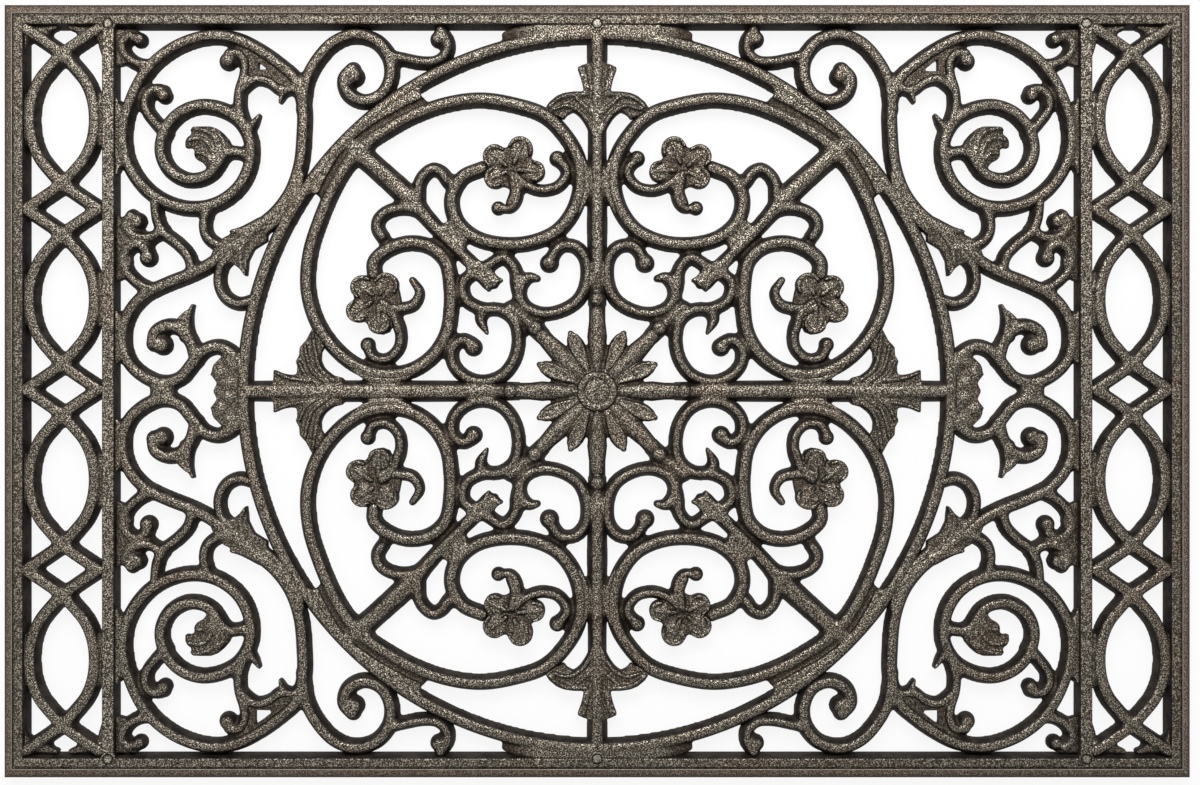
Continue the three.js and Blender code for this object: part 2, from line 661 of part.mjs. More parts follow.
const ARMS = [
  { name: 'upper_cross_arm', outline: armOutline(UPRIGHT_ARM, true, 1), boss: [0, BOSS_ALONG_UPRIGHT] },
  { name: 'lower_cross_arm', outline: armOutline(UPRIGHT_ARM, true, -1), boss: [0, -BOSS_ALONG_UPRIGHT] },
  { name: 'right_cross_arm', outline: armOutline(LEVEL_ARM, false, 1), boss: [BOSS_ALONG_LEVEL, 0] },
  { name: 'left_cross_arm', outline: armOutline(LEVEL_ARM, false, -1), boss: [-BOSS_ALONG_LEVEL, 0] },
];

const ringGap = ringClearing();
const rosetteGap = joined([hubOutline, ...petalOutlines].map(clearing));
const armGaps = ARMS.map(({ outline }) => clearing(outline));

function raisedBoss([x, y]) {
  const [centre] = onField([[x, y]], { x: 1, y: 1 });
  const outline = disc(centre.x, centre.y, BOSS_DIAMETER / 2, ROUND_SIDES);
  return prism(outline, UNDERSIDE, ORNAMENT_DEPTH + BOSS_RISE);
}

function armSolid({ outline, boss }) {
  return joined([plate([outline], ORNAMENT_DEPTH, [ringGap, rosetteGap]), raisedBoss(boss)]);
}

// Tracery, corner scrolls and side scrolls

function tracerySolid(quadrant) {
  const cutters = [ringGap, rosetteGap, ...armGaps];
  const ribs = plate(sectionOutlines(TRACERY, quadrant), ORNAMENT_DEPTH, cutters);
  return joined([ribs, raisedBoss([quadrant.x * SPOKE_BOSS[0], quadrant.y * SPOKE_BOSS[1]])]);
}

function cornerSolid(quadrant) {
  const cutters = [ringGap, clearing(dividerOutline(quadrant.x)), ...railClearings, ...lugClearings];
  const ribs = plate(sectionOutlines(CORNER_SCROLL, quadrant), ORNAMENT_DEPTH, cutters);
  const web = prism(onField(CORNER_SCROLL.web, quadrant), UNDERSIDE, WEB_DEPTH);
  const [x, y, radius] = CORNER_SCROLL.webHole;
  const [centre] = onField([[x, y]], quadrant);
  const pinhole = prism(disc(centre.x, centre.y, radius, BOSS_SIDES), 0, 2 * CASTING_TOP);
  return cut(joined([ribs, web]), [pinhole]);
}

// A side scroll holds both halves, above and below the long axis
function sideSolid(side) {
  const halves = QUADRANTS.filter(({ x }) => x === side);
  const ribs = halves.flatMap((quadrant) => sectionOutlines(SIDE_SCROLL, quadrant));
  const corners = halves.flatMap((quadrant) => sectionOutlines(CORNER_SCROLL, quadrant)).map(clearing);
  return plate(ribs, ORNAMENT_DEPTH, [ringGap, clearing(dividerOutline(side)), ...corners]);
}

// Feet: low round pads, each with a blind socket for its rivet

function footGeometry() {
  const profile = [
    [0, 0], [FOOT_DIAMETER / 2 - FOOT_TAPER, 0], [FOOT_DIAMETER / 2, FOOT_HEIGHT],
    [RIVET_HOLE_RADIUS, FOOT_HEIGHT], [RIVET_HOLE_RADIUS, FOOT_FLOOR], [0, FOOT_FLOOR],
  ];
  const geometry = new THREE.LatheGeometry(profile.map(([x, y]) => new THREE.Vector2(x, y)), ROUND_SIDES);
  geometry.rotateX(Math.PI / 2);
  return geometry;
}

function rivetSolid() {
  const bottom = FOOT_FLOOR + RIVET_CLEARANCE;
  return prism(disc(0, 0, RIVET_DIAMETER / 2, ROUND_SIDES), bottom, CASTING_TOP - bottom);
}

// Assembly

const mat = new THREE.Group();

for (const name of Object.keys(railOutlines)) {
  mat.add(meshOf(name, railSolid(name), iron));
}

for (const [hand, side] of [['right', 1], ['left', -1]]) {
  const divider = cut(prism(dividerOutline(side), UNDERSIDE, CASTING_DEPTH), lugClearings);
  mat.add(meshOf(`${hand}_divider_bar`, divider, iron));
  mat.add(meshOf(`${hand}_border_lattice`, latticeSolid(side), iron));
  mat.add(meshOf(`${hand}_side_scroll`, sideSolid(side), iron));
}

mat.add(meshOf('medallion_ring', ringSolid(), iron));
mat.add(meshOf('centre_rosette', rosetteSolid(), iron));

for (const arm of ARMS) {
  mat.add(meshOf(arm.name, armSolid(arm), iron));
}

for (const quadrant of QUADRANTS) {
  mat.add(meshOf(`${quadrant.side}_tracery`, tracerySolid(quadrant), iron));
  mat.add(meshOf(`${quadrant.side}_corner_scroll`, cornerSolid(quadrant), iron));
}

lugOutlines.forEach(({ x, y }) => {
  const row = y > 0 ? 'upper' : 'lower';
  const column = { '-1': 'left', 0: 'middle', 1: 'right' }[Math.sign(x)];
  const foot = meshOf(`${row}_${column}_foot`, solidOf(footGeometry()), rubber);
  const rivet = meshOf(`${row}_${column}_rivet`, rivetSolid(), steel);
  foot.position.set(x, y, 0);
  rivet.position.set(x, y, 0);
  mat.add(foot, rivet);
});

export default mat;
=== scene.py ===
"""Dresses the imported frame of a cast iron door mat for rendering.

The mat lies tread side up, with X along its length, Y along its width and the floor at Z = 0.
Its ornament is drawn in one quarter, in millimetres, and mirrored into the other three.
"""

from __future__ import annotations

import logging
import math
from collections.abc import Callable, Iterable, Mapping, Sequence
from dataclasses import dataclass, field, replace
from enum import Enum
from typing import Any

import bmesh
import bpy
from mathutils import Matrix, Vector


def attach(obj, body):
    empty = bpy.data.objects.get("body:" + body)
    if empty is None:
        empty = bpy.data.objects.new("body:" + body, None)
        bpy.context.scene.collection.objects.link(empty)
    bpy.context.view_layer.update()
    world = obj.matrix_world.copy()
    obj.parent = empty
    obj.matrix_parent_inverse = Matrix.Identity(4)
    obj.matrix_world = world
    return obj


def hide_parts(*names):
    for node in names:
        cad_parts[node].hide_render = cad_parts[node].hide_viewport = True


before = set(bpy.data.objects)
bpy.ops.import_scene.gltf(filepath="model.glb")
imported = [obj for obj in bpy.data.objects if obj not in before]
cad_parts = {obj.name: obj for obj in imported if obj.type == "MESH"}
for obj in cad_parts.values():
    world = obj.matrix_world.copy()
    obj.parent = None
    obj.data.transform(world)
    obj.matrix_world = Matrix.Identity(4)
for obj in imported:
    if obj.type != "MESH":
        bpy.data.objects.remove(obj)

log = logging.getLogger("door_mat")

Point = tuple[float, float]
Line = tuple[Point, ...]
Place = tuple[float, float, float]
Colour = tuple[float, float, float]
Range = tuple[float, float]
Inputs = Mapping[str | int, Any]

MM = 0.001
WHITE = (1.0, 1.0, 1.0, 1.0)

# The mat's outside and the outer rivets, in millimetres
MAT_LENGTH = 712.0
MAT_WIDTH = 464.0
RIVET_X = 292.6
RIVET_Y = 220.0

# Heights and widths of a common rib, in millimetres. One that is narrower than the full
# flank width leans out less at its foot.
CROWN_TOP = 12.0
UNDERSIDE = 3.0
FLANK = 1.45
FULL_FLANK_WIDTH = 6.0
DEEPEST_DROP = 8.2

# How a quarter's drawing is set on the mat: shortened across it, then lowered to the long axis
SEAT_SCALE = 0.996
SEAT_DROP = 1.48

# What the relief tree reads on each point of a base mesh
ATTRIBUTES = ("is_rib", "is_knob", "half_width", "crown", "drop", "bluntness")


class Quarter(Enum):
    """The quarters of the mat, with the signs of X and Y in each."""

    UPPER_RIGHT = (1, 1)
    UPPER_LEFT = (-1, 1)
    LOWER_LEFT = (-1, -1)
    LOWER_RIGHT = (1, -1)

    @property
    def label(self) -> str:
        """The quarter's name as the frame's nodes spell it."""
        return self.name.lower()


class Kind(Enum):
    """How the relief tree treats a part of a base mesh."""

    RIB = "rib"
    KNOB = "knob"
    PLATE = "plate"


# Node trees


class Value:
    """An output of a node tree, for use in arithmetic."""

    def __init__(self, graph: Graph, socket: bpy.types.NodeSocket) -> None:
        """Wraps one output socket of the graph."""
        self.graph = graph
        self.socket = socket

    def __add__(self, other: Value | float) -> Value:
        """This value plus another."""
        return self.graph.math("ADD", self, other)

    __radd__ = __add__

    def __sub__(self, other: Value | float) -> Value:
        """This value less another."""
        return self.graph.math("SUBTRACT", self, other)

    def __rsub__(self, other: float) -> Value:
        """A number less this value."""
        return self.graph.math("SUBTRACT", other, self)

    def __mul__(self, other: Value | float) -> Value:
        """This value times another."""
        return self.graph.math("MULTIPLY", self, other)

    __rmul__ = __mul__

    def __pow__(self, other: Value | float) -> Value:
        """This value to the power of another."""
        return self.graph.math("POWER", self, other)

    def __gt__(self, other: Value | float) -> Value:
        """One where this value is the larger, or else zero."""
        return self.graph.math("GREATER_THAN", self, other)

    def __abs__(self) -> Value:
        """This value without its sign."""
        return self.graph.math("ABSOLUTE", self)

    def limited(self, low: float, high: float) -> Value:
        """This value kept between two limits."""
        return self.graph.math("MINIMUM", self.graph.math("MAXIMUM", self, low), high)


class Graph:
    """Adds nodes to a shader tree or a geometry tree and links them."""

    def __init__(self, tree: bpy.types.NodeTree) -> None:
        """Starts on a tree, which may hold nodes already."""
        self.tree = tree

    def node(
        self, kind: str, settings: Mapping[str, Any] | None = None, inputs: Inputs | None = None
    ) -> bpy.types.Node:
        """Adds a node.

        Args:
            kind: The node's type.
            settings: Properties to set first, by name.
            inputs: Values or links for its sockets, by name or index.

        Returns:
            The new node.
        """
        made = self.tree.nodes.new(kind)
        for name, value in (settings or {}).items():
            setattr(made, name, value)
        for key, value in (inputs or {}).items():
            self.feed(made.inputs[key], value)
        return made

    def feed(self, socket: bpy.types.NodeSocket, value: Any) -> None:
        """Links a value to an input socket, or sets the socket to a constant.

        Args:
            socket: The input socket.
            value: The value or the constant.
        """
        if isinstance(value, Value):
            self.tree.links.new(value.socket, socket)
        else:
            socket.default_value = value

    def value(
        self,
        kind: str,
        settings: Mapping[str, Any] | None = None,
        inputs: Inputs | None = None,
        output: str | int = 0,
    ) -> Value:
        """Adds a node and returns one of its outputs."""
        return Value(self, self.node(kind, settings, inputs).outputs[output])

    def math(self, operation: str, *operands: Value | float) -> Value:
        """Adds a Math node on one or two operands and returns its result."""
        return self.value("ShaderNodeMath", {"operation": operation}, dict(enumerate(operands)))

    def scaled(self, vector: Value, factor: float) -> Value:
        """A vector times a number."""
        return self.value(
            "ShaderNodeVectorMath", {"operation": "SCALE"}, {"Vector": vector, "Scale": factor}
        )

    def parts(self, vector: Value) -> tuple[Value, Value, Value]:
        """The X, Y and Z of a vector."""
        x, y, z = self.node("ShaderNodeSeparateXYZ", inputs={0: vector}).outputs
        return Value(self, x), Value(self, y), Value(self, z)

    def whole(self, x: Value | float, y: Value | float, z: Value | float) -> Value:
        """A vector from its X, Y and Z."""
        return self.value("ShaderNodeCombineXYZ", inputs={0: x, 1: y, 2: z})

    def ramp(self, value: Value, low: float, high: float) -> Value:
        """Rises smoothly from 0 at the low limit to 1 at the high one.

        Args:
            value: What the rise follows.
            low: Where it starts.
            high: Where it ends.

        Returns:
            The rise.
        """
        return self.value(
            "ShaderNodeMapRange",
            {"interpolation_type": "SMOOTHSTEP"},
            {"Value": value, "From Min": low, "From Max": high},
        )

    def blend(
        self, factor: Value | float, first: Value | Colour, second: Value | Colour
    ) -> Value:
        """Mixes two colours.

        Args:
            factor: The share of the second colour.
            first: The colour at factor 0.
            second: The colour at factor 1.

        Returns:
            The mixed colour.
        """
        return self.value(
            "ShaderNodeMix",
            {"data_type": "RGBA"},
            {0: factor, 6: _rgba(first), 7: _rgba(second)},
            output=2,
        )

    def noise(
        self, vector: Value, size: float, detail: float = 2.0, roughness: float = 0.5
    ) -> Value:
        """Adds a noise texture.

        Args:
            vector: Where it is read.
            size: About how large its features are.
            detail: How many finer layers it has.
            roughness: How strong the finer layers are.

        Returns:
            The noise, mostly from 0.3 to 0.7.
        """
        look = {"Scale": 1.0 / size, "Detail": detail, "Roughness": roughness}
        return self.value("ShaderNodeTexNoise", inputs={"Vector": vector, **look})

    def relief(self, height: Value, strength: float, distance: float) -> Value:
        """Adds a bump and returns its normal.

        Args:
            height: The height of the surface.
            strength: The share of the bump that is used.
            distance: The height of the bump, in metres.

        Returns:
            The bumped normal.
        """
        inputs = {"Strength": strength, "Distance": distance, "Height": height}
        return self.value("ShaderNodeBump", inputs=inputs)

    def named(self, name: str) -> Value:
        """A float attribute of the geometry."""
        return self.value("GeometryNodeInputNamedAttribute", {"data_type": "FLOAT"}, {"Name": name})

    def rays(self) -> tuple[Value, Value, Value]:
        """Adds a Light Path node.

        Returns:
            Masks that are one for a camera ray, a glossy ray and a transmission ray.
        """
        outputs = self.node("ShaderNodeLightPath").outputs
        camera, glossy, through = (
            Value(self, outputs[f"Is {kind} Ray"]) for kind in ("Camera", "Glossy", "Transmission")
        )
        return camera, glossy, through


def _rgba(colour: Value | Colour) -> Value | tuple[float, ...]:
    """A colour with its alpha, or a link as it is."""
    return colour if isinstance(colour, Value) else (*colour, 1.0)


# Finishes


def _surface(name: str) -> tuple[bpy.types.Material, Graph, bpy.types.Node]:
    """Starts a material.

    Args:
        name: The material's name.

    Returns:
        The material, the graph of its tree, and its surface shader.
    """
    material = bpy.data.materials.new(name)
    material.use_nodes = True
    graph = Graph(material.node_tree)
    return material, graph, material.node_tree.nodes["Principled BSDF"]


def _millimetres(graph: Graph) -> Value:
    """The place on the mat, in millimetres."""
    return graph.scaled(graph.value("ShaderNodeTexCoord", output="Object"), 1.0 / MM)


@dataclass(frozen=True)
class IronFinish:
    """The pebbled, bronze-brown skin of the casting: wear and painted glints on its crowns, painted
    shade below them.

    Sizes, heights and insets from the mat's edge are in millimetres. Each range is where
    its mask rises, and the facing ones are on the upright part of the surface's normal.
    """

    name: str = "bronzed_cast_iron"
    body: Colour = (0.075, 0.063, 0.050)
    pit: Colour = (0.020, 0.016, 0.013)
    # Wear and painted glints: the bright colour of the flecks on up-facing crowns.
    speckle: Colour = (0.74, 0.67, 0.545)
    # Painted shade: the near-black of steep sides, and the paler random patches in it.
    flank: Colour = (0.009, 0.007, 0.006)
    flank_pale: Colour = (0.030, 0.024, 0.020)
    # Painted light from the pale floor, on the lowest part of steep sides.
    flank_foot: Colour = (0.050, 0.038, 0.029)
    rust: Colour = (0.095, 0.055, 0.034)
    # A real rust-brown tint with painted shade, for the low parts of the relief.
    hollow: Colour = (0.050, 0.034, 0.024)
    grain: float = 0.78
    grain_height: float = 0.42
    grain_strength: float = 0.9
    rust_patch: float = 42.0
    flank_patch: float = 6.0
    half_length: float = MAT_LENGTH / 2
    half_width: float = MAT_WIDTH / 2
    rivet_x: float = RIVET_X
    rivet_y: float = RIVET_Y
    rivet_radius: float = 2.9
    rivet_ring_fade: Range = (0.25, 0.65)
    hub_ring: float = 7.4
    hub_ring_fade: Range = (0.15, 0.6)
    tread_facing: Range = (0.58, 0.94)
    bevel_facing: Range = (0.2, 0.6)
    hollow_heights: Range = (8.8, 11.2)
    foot_heights: Range = (4.0, 9.0)
    bevel_insets: Range = (4.9, 5.3)
    crest_insets: Range = (5.2, 6.0)
    groove_insets: Range = (6.2, 7.2)
    rail_insets: Range = (12.6, 13.2)
    pit_grains: Range = (0.40, 0.48)
    foot_grains: Range = (0.38, 0.62)
    bright_grains: Range = (0.515, 0.605)
    rust_patches: Range = (0.46, 0.66)
    flank_patches: Range = (0.40, 0.66)
    roughness: Range = (0.66, 0.38)
    specular: float = 0.12

    def material(self) -> bpy.types.Material:
        """Builds the material.

        Returns:
            The finished material.
        """
        material, graph, shader = _surface(self.name)
        place = _millimetres(graph)
        x, y, height = graph.parts(place)
        _, _, up = graph.parts(graph.value("ShaderNodeNewGeometry", output="Normal"))
        coarse = graph.noise(place, self.grain, 2.0, 0.65)
        grain = 0.65 * coarse + 0.35 * graph.noise(place, 0.6 * self.grain, 1.0, 0.5)
        inset = graph.math("MINIMUM", self.half_length - abs(x), self.half_width - abs(y))
        bevel = 1.0 - graph.ramp(inset, *self.bevel_insets)
        # Painted highlight: a bright line along the bead of the rail's sloping edge.
        crest_highlight = self._band(graph, inset, *self.crest_insets)
        # Painted shade: the narrow channel inside the rail's bead is darkened and loses its glints.
        groove_shade = self._band(graph, inset, *self.groove_insets)
        rail = 1.0 - graph.ramp(inset, *self.rail_insets)
        # Dark rings: the real seam round each rivet, and painted shade in the fine ring of the
        # rosette's hub.
        ring = (self._rivet_ring(graph, x, y) + self._hub_ring(graph, x, y)).limited(0.0, 1.0)
        # Low parts of the relief get a real rust-brown tint and painted shade: darker, with fewer
        # glints.
        recess = 1.0 - graph.ramp(height, *self.hollow_heights)
        facing = graph.math(
            "MAXIMUM",
            graph.ramp(up, *self.tread_facing),
            bevel * graph.ramp(up, *self.bevel_facing),
        )

        # Wear and painted glints: bright flecks of the grain on up-facing parts, fewer in low
        # parts, on rings and on the rail, with a painted highlight along the rail's bead.
        wear_and_glint = graph.math("MAXIMUM", graph.ramp(grain, *self.bright_grains), crest_highlight * 0.5)
        wear_and_glint = wear_and_glint * facing * (1.0 - 0.85 * recess) * (1.0 - 0.3 * rail) * (1.0 - ring)
        wear_and_glint = wear_and_glint * (1.0 - 0.35 * groove_shade) * (1.0 - 0.15 * bevel)

        patches = graph.ramp(graph.noise(place, self.rust_patch, 3.0, 0.55), *self.rust_patches)
        rusty = (patches * 0.5 + bevel * 0.5).limited(0.0, 1.0)
        body = graph.blend(recess * 0.85, graph.blend(rusty, self.body, self.rust), self.hollow)
        pits = 1.0 - graph.ramp(grain, *self.pit_grains)
        # Dark grain pits, the rivet seams, and painted shade in the hub's ring and the rail's bead
        # channel.
        dark = (pits * 0.85 + ring + 0.5 * groove_shade).limited(0.0, 1.0)
        tread = graph.blend(dark, body, self.pit)

        # Painted light from the pale floor, in flecks, on the lowest few millimetres of steep
        # sides.
        foot = 1.0 - graph.ramp(height, *self.foot_heights)
        foot = foot * graph.ramp(grain, *self.foot_grains)
        # Painted shade on steep sides, paler in random patches; up-facing parts keep the iron's
        # colour.
        mottle = graph.ramp(graph.noise(place, self.flank_patch, 3.0, 0.6), *self.flank_patches)
        flank = graph.blend(mottle, self.flank, self.flank_pale)
        shaded = graph.blend(facing, graph.blend(foot, flank, self.flank_foot), tread)

        dull, bright = self.roughness
        graph.feed(shader.inputs["Base Color"], graph.blend(wear_and_glint * 0.9, shaded, self.speckle))
        graph.feed(shader.inputs["Metallic"], 0.05 + 0.85 * facing * (1.0 - 0.8 * bevel))
        graph.feed(shader.inputs["Roughness"], dull - (dull - bright) * wear_and_glint)
        skin = graph.relief(grain, self.grain_strength, self.grain_height * MM)
        graph.feed(shader.inputs["Normal"], skin)
        shader.inputs["Specular IOR Level"].default_value = self.specular
        return material

    @staticmethod
    def _band(graph: Graph, value: Value, low: float, high: float) -> Value:
        """One between two limits, zero outside them.

        Args:
            graph: The material's graph.
            value: What the band follows.
            low: The middle of its rise.
            high: The middle of its fall.

        Returns:
            The band.
        """
        soft = 0.2
        rise = graph.ramp(value, low - soft, low + soft)
        return rise - graph.ramp(value, high - soft, high + soft)

    def _hub_ring(self, graph: Graph, x: Value, y: Value) -> Value:
        """One in the fine ring turned into the hub of the rosette, where shade is painted.

        Args:
            graph: The material's graph.
            x: The place along the mat.
            y: The place across the mat.

        Returns:
            The mask of the painted shade in the ring.
        """
        distance = graph.math("SQRT", x * x + y * y)
        return 0.8 - 0.8 * graph.ramp(abs(distance - self.hub_ring), *self.hub_ring_fade)

    def _rivet_ring(self, graph: Graph, x: Value, y: Value) -> Value:
        """One in the dark seam round each rivet.

        Args:
            graph: The material's graph.
            x: The place along the mat.
            y: The place across the mat.

        Returns:
            The mask of the seams.
        """
        near_x = graph.math("MINIMUM", abs(x), abs(abs(x) - self.rivet_x))
        near_y = abs(y) - self.rivet_y
        distance = graph.math("SQRT", near_x * near_x + near_y * near_y)
        return 1.0 - graph.ramp(abs(distance - self.rivet_radius), *self.rivet_ring_fade)


@dataclass(frozen=True)
class RubberFinish:
    """Matt black moulded rubber with a little dust."""

    name: str = "foot_rubber"
    colour: Colour = (0.014, 0.014, 0.014)
    dust: Colour = (0.06, 0.056, 0.05)
    dust_patch: float = 3.0
    grain: float = 0.4
    grain_height: float = 0.05

    def material(self) -> bpy.types.Material:
        """Builds the material.

        Returns:
            The finished material.
        """
        material, graph, shader = _surface(self.name)
        place = _millimetres(graph)
        dusty = graph.ramp(graph.noise(place, self.dust_patch, 4.0, 0.6), 0.5, 0.75)
        graph.feed(shader.inputs["Base Color"], graph.blend(dusty * 0.5, self.colour, self.dust))
        graph.feed(shader.inputs["Roughness"], 0.8 + 0.12 * dusty)
        skin = graph.relief(graph.noise(place, self.grain), 0.4, self.grain_height * MM)
        graph.feed(shader.inputs["Normal"], skin)
        return material


@dataclass(frozen=True)
class RivetFinish:
    """The dull, hammered end of a steel rivet."""

    name: str = "rivet_steel"
    colour: Colour = (0.42, 0.40, 0.34)
    tarnish: Colour = (0.12, 0.105, 0.085)
    tarnish_patch: float = 1.1
    dent: float = 1.3
    dent_depth: float = 0.15

    def material(self) -> bpy.types.Material:
        """Builds the material.

        Returns:
            The finished material.
        """
        material, graph, shader = _surface(self.name)
        place = _millimetres(graph)
        spots = graph.ramp(graph.noise(place, self.tarnish_patch, 3.0, 0.6), 0.4, 0.65)
        graph.feed(shader.inputs["Base Color"], graph.blend(spots, self.colour, self.tarnish))
        graph.feed(shader.inputs["Roughness"], 0.38 + 0.25 * spots)
        shader.inputs["Metallic"].default_value = 0.9
        dents = graph.relief(graph.noise(place, self.dent), 0.5, self.dent_depth * MM)
        graph.feed(shader.inputs["Normal"], dents)
        return material


@dataclass(frozen=True)
class FloorFinish:
    """A plain pale floor that reads as white and keeps a soft shadow."""

    name: str = "pale_floor"
    colour: Colour = (0.86, 0.86, 0.86)
    whiteness: float = 0.88

    def material(self) -> bpy.types.Material:
        """Builds the material.

        Returns:
            The finished material.
        """
        material, graph, shader = _surface(self.name)
        shader.inputs["Base Color"].default_value = _rgba(self.colour)
        shader.inputs["Roughness"].default_value = 0.9
        shader.inputs["Specular IOR Level"].default_value = 0.0
        camera, glossy, through = graph.rays()
        seen = (camera + glossy + through).limited(0.0, 1.0)
        white = graph.value("ShaderNodeEmission", inputs={"Color": WHITE, "Strength": 1.0})
        mixed = graph.value(
            "ShaderNodeMixShader",
            inputs={0: seen * self.whiteness, 1: Value(graph, shader.outputs[0]), 2: white},
        )
        graph.feed(material.node_tree.nodes["Material Output"].inputs["Surface"], mixed)
        return material


# Drawings of the ornament


@dataclass(frozen=True)
class Rib:
    """A cast rib: its centre line and its mean widths, from one end to the other.

    The crown is the height of its ridge. The flank is how far each side leans out at
    the foot. The drop is how far the edge lies below the ridge, as a share of half the
    width at the foot, and a larger bluntness makes a flatter top. A rib with ends gets a
    round one at each end.
    """

    line: Line
    widths: tuple[float, ...]
    crown: float | tuple[float, ...] = CROWN_TOP
    flank: float = FLANK
    drop: float = 1.75
    bluntness: float = 3.0
    closed: bool = False
    ends: bool = True

    def foot(self, place: float) -> float:
        """Half the width at the foot, at a place from 0 to 1 along the rib."""
        width = along(self.widths, place)
        return width / 2 + self.flank * min(1.0, width / FULL_FLANK_WIDTH)

    def ridge(self, place: float) -> float:
        """The height of the ridge, at a place from 0 to 1 along the rib."""
        return along(self.crown, place) if isinstance(self.crown, tuple) else self.crown


@dataclass(frozen=True)
class Knob:
    """A round boss with a domed top."""

    centre: Point
    radius: float
    crown: float = CROWN_TOP
    drop: float = 1.1
    bluntness: float = 3.2


@dataclass(frozen=True)
class Plate:
    """A flat outline cast to an even height."""

    outline: Line
    top: float


@dataclass(frozen=True)
class Drawing:
    """What one piece of the ornament is drawn from."""

    ribs: tuple[Rib, ...] = ()
    knobs: tuple[Knob, ...] = ()
    plates: tuple[Plate, ...] = ()

    def turned(self, quarter: Quarter) -> Drawing:
        """The same drawing mirrored into another quarter."""
        sx, sy = quarter.value
        return self._placed(lambda point: (sx * point[0], sy * point[1]))

    def seated(self) -> Drawing:
        """The drawing of an upper quarter, brought down to the axis of the mat."""
        return self._placed(lambda point: (point[0], point[1] * SEAT_SCALE - SEAT_DROP))

    def _placed(self, place: Callable[[Point], Point]) -> Drawing:
        """The drawing with each of its points moved.

        Args:
            place: Gives a point's new place.

        Returns:
            The moved drawing.
        """
        return Drawing(
            tuple(replace(rib, line=tuple(map(place, rib.line))) for rib in self.ribs),
            tuple(replace(knob, centre=place(knob.centre)) for knob in self.knobs),
            tuple(
                replace(slab, outline=tuple(map(place, slab.outline))) for slab in self.plates
            ),
        )

    def __add__(self, other: Drawing) -> Drawing:
        """Both drawings in one."""
        return Drawing(
            self.ribs + other.ribs, self.knobs + other.knobs, self.plates + other.plates
        )


# The kinds of rib, knob and plate that the ornament is drawn with


def lobe(*line: Point) -> Rib:
    """A wide lobe of the tracery."""
    return Rib(line, (7.5,))


def scroll(*line: Point) -> Rib:
    """A small scroll of the tracery."""
    return Rib(line, (6.4,), bluntness=2.2)


def tendril(*line: Point) -> Rib:
    """The stalk of a flower."""
    return Rib(line, (5.4,), bluntness=2.2)


def arch(*line: Point) -> Rib:
    """A small arch beside a diagonal stem."""
    return Rib(line, (6.6,), bluntness=2.2)


def branch(*line: Point) -> Rib:
    """A main branch of the scrolls outside the ring."""
    return Rib(line, (7.4,))


def curl(*line: Point) -> Rib:
    """A shoot that curls off a branch."""
    return Rib(line, (6.3,), bluntness=2.3)


def fold(widths: tuple[float, ...], *line: Point, crown: float = CROWN_TOP) -> Rib:
    """A fold of a leaf."""
    return Rib(line, widths, crown=crown, flank=0.4, drop=1.2, bluntness=1.5)


def seam(
    widths: tuple[float, ...],
    *line: Point,
    crown: float | tuple[float, ...] = 11.0,
    ends: bool = True,
) -> Rib:
    """A low filling where two ribs lie side by side."""
    return Rib(line, widths, crown=crown, flank=0.4, drop=0.4, ends=ends)


def boss(centre: Point, radius: float) -> Knob:
    """A boss that stands proud of a stem."""
    return Knob(centre, radius, crown=12.95, drop=0.8, bluntness=3.0)


def plate(top: float, *outline: Point) -> Plate:
    """A web or the floor of a leaf."""
    return Plate(outline, top)


# Points and curves


def polar(radius: float, angle: float) -> Point:
    """The point at a distance and an angle from the middle of the mat."""
    return radius * math.cos(angle), radius * math.sin(angle)


def smooth_line(line: Line, spacing: float, closed: bool = False) -> list[tuple[Vector, float]]:
    """Runs a smooth curve through points, with its speed set by the points' distances.

    Args:
        line: The points that the curve goes through.
        spacing: The greatest distance between the curve's samples.
        closed: Whether the curve comes back to its first point.

    Returns:
        The samples, each with its place from 0 to 1, counted evenly from point to point.
    """
    points = [Vector(point) for point in line]
    if closed:
        points = [points[-1], *points, points[0], points[1]]
    else:
        points = [2 * points[0] - points[1], *points, 2 * points[-1] - points[-2]]
    spans = len(points) - 3
    samples: list[tuple[Vector, float]] = []
    for span in range(spans):
        a, b, c, d = points[span : span + 4]
        gaps = [max((q - p).length ** 0.5, 1e-4) for p, q in ((a, b), (b, c), (c, d))]
        out = _slope(a, b, c, gaps[0], gaps[1]) * gaps[1]
        into = _slope(b, c, d, gaps[1], gaps[2]) * gaps[1]
        steps = max(2, math.ceil((c - b).length / spacing))
        for step in range(steps):
            t = step / steps
            at = (
                (2 * t**3 - 3 * t**2 + 1) * b
                + (t**3 - 2 * t**2 + t) * out
                + (3 * t**2 - 2 * t**3) * c
                + (t**3 - t**2) * into
            )
            samples.append((at, (span + t) / spans))
    if not closed:
        samples.append((points[-2], 1.0))
    return samples


def _slope(a: Vector, b: Vector, c: Vector, first: float, second: float) -> Vector:
    """The curve's speed at b, on its way from a to c in a first and a second stretch of time."""
    return (b - a) / first - (c - a) / (first + second) + (c - b) / second


def along(values: Sequence[float], place: float) -> float:
    """Reads an even row of values.

    Args:
        values: The row.
        place: A place from 0 to 1 along it.

    Returns:
        The value there.
    """
    if len(values) == 1:
        return values[0]
    at = place * (len(values) - 1)
    first = min(int(at), len(values) - 2)
    return values[first] + (values[first + 1] - values[first]) * (at - first)


# Base meshes


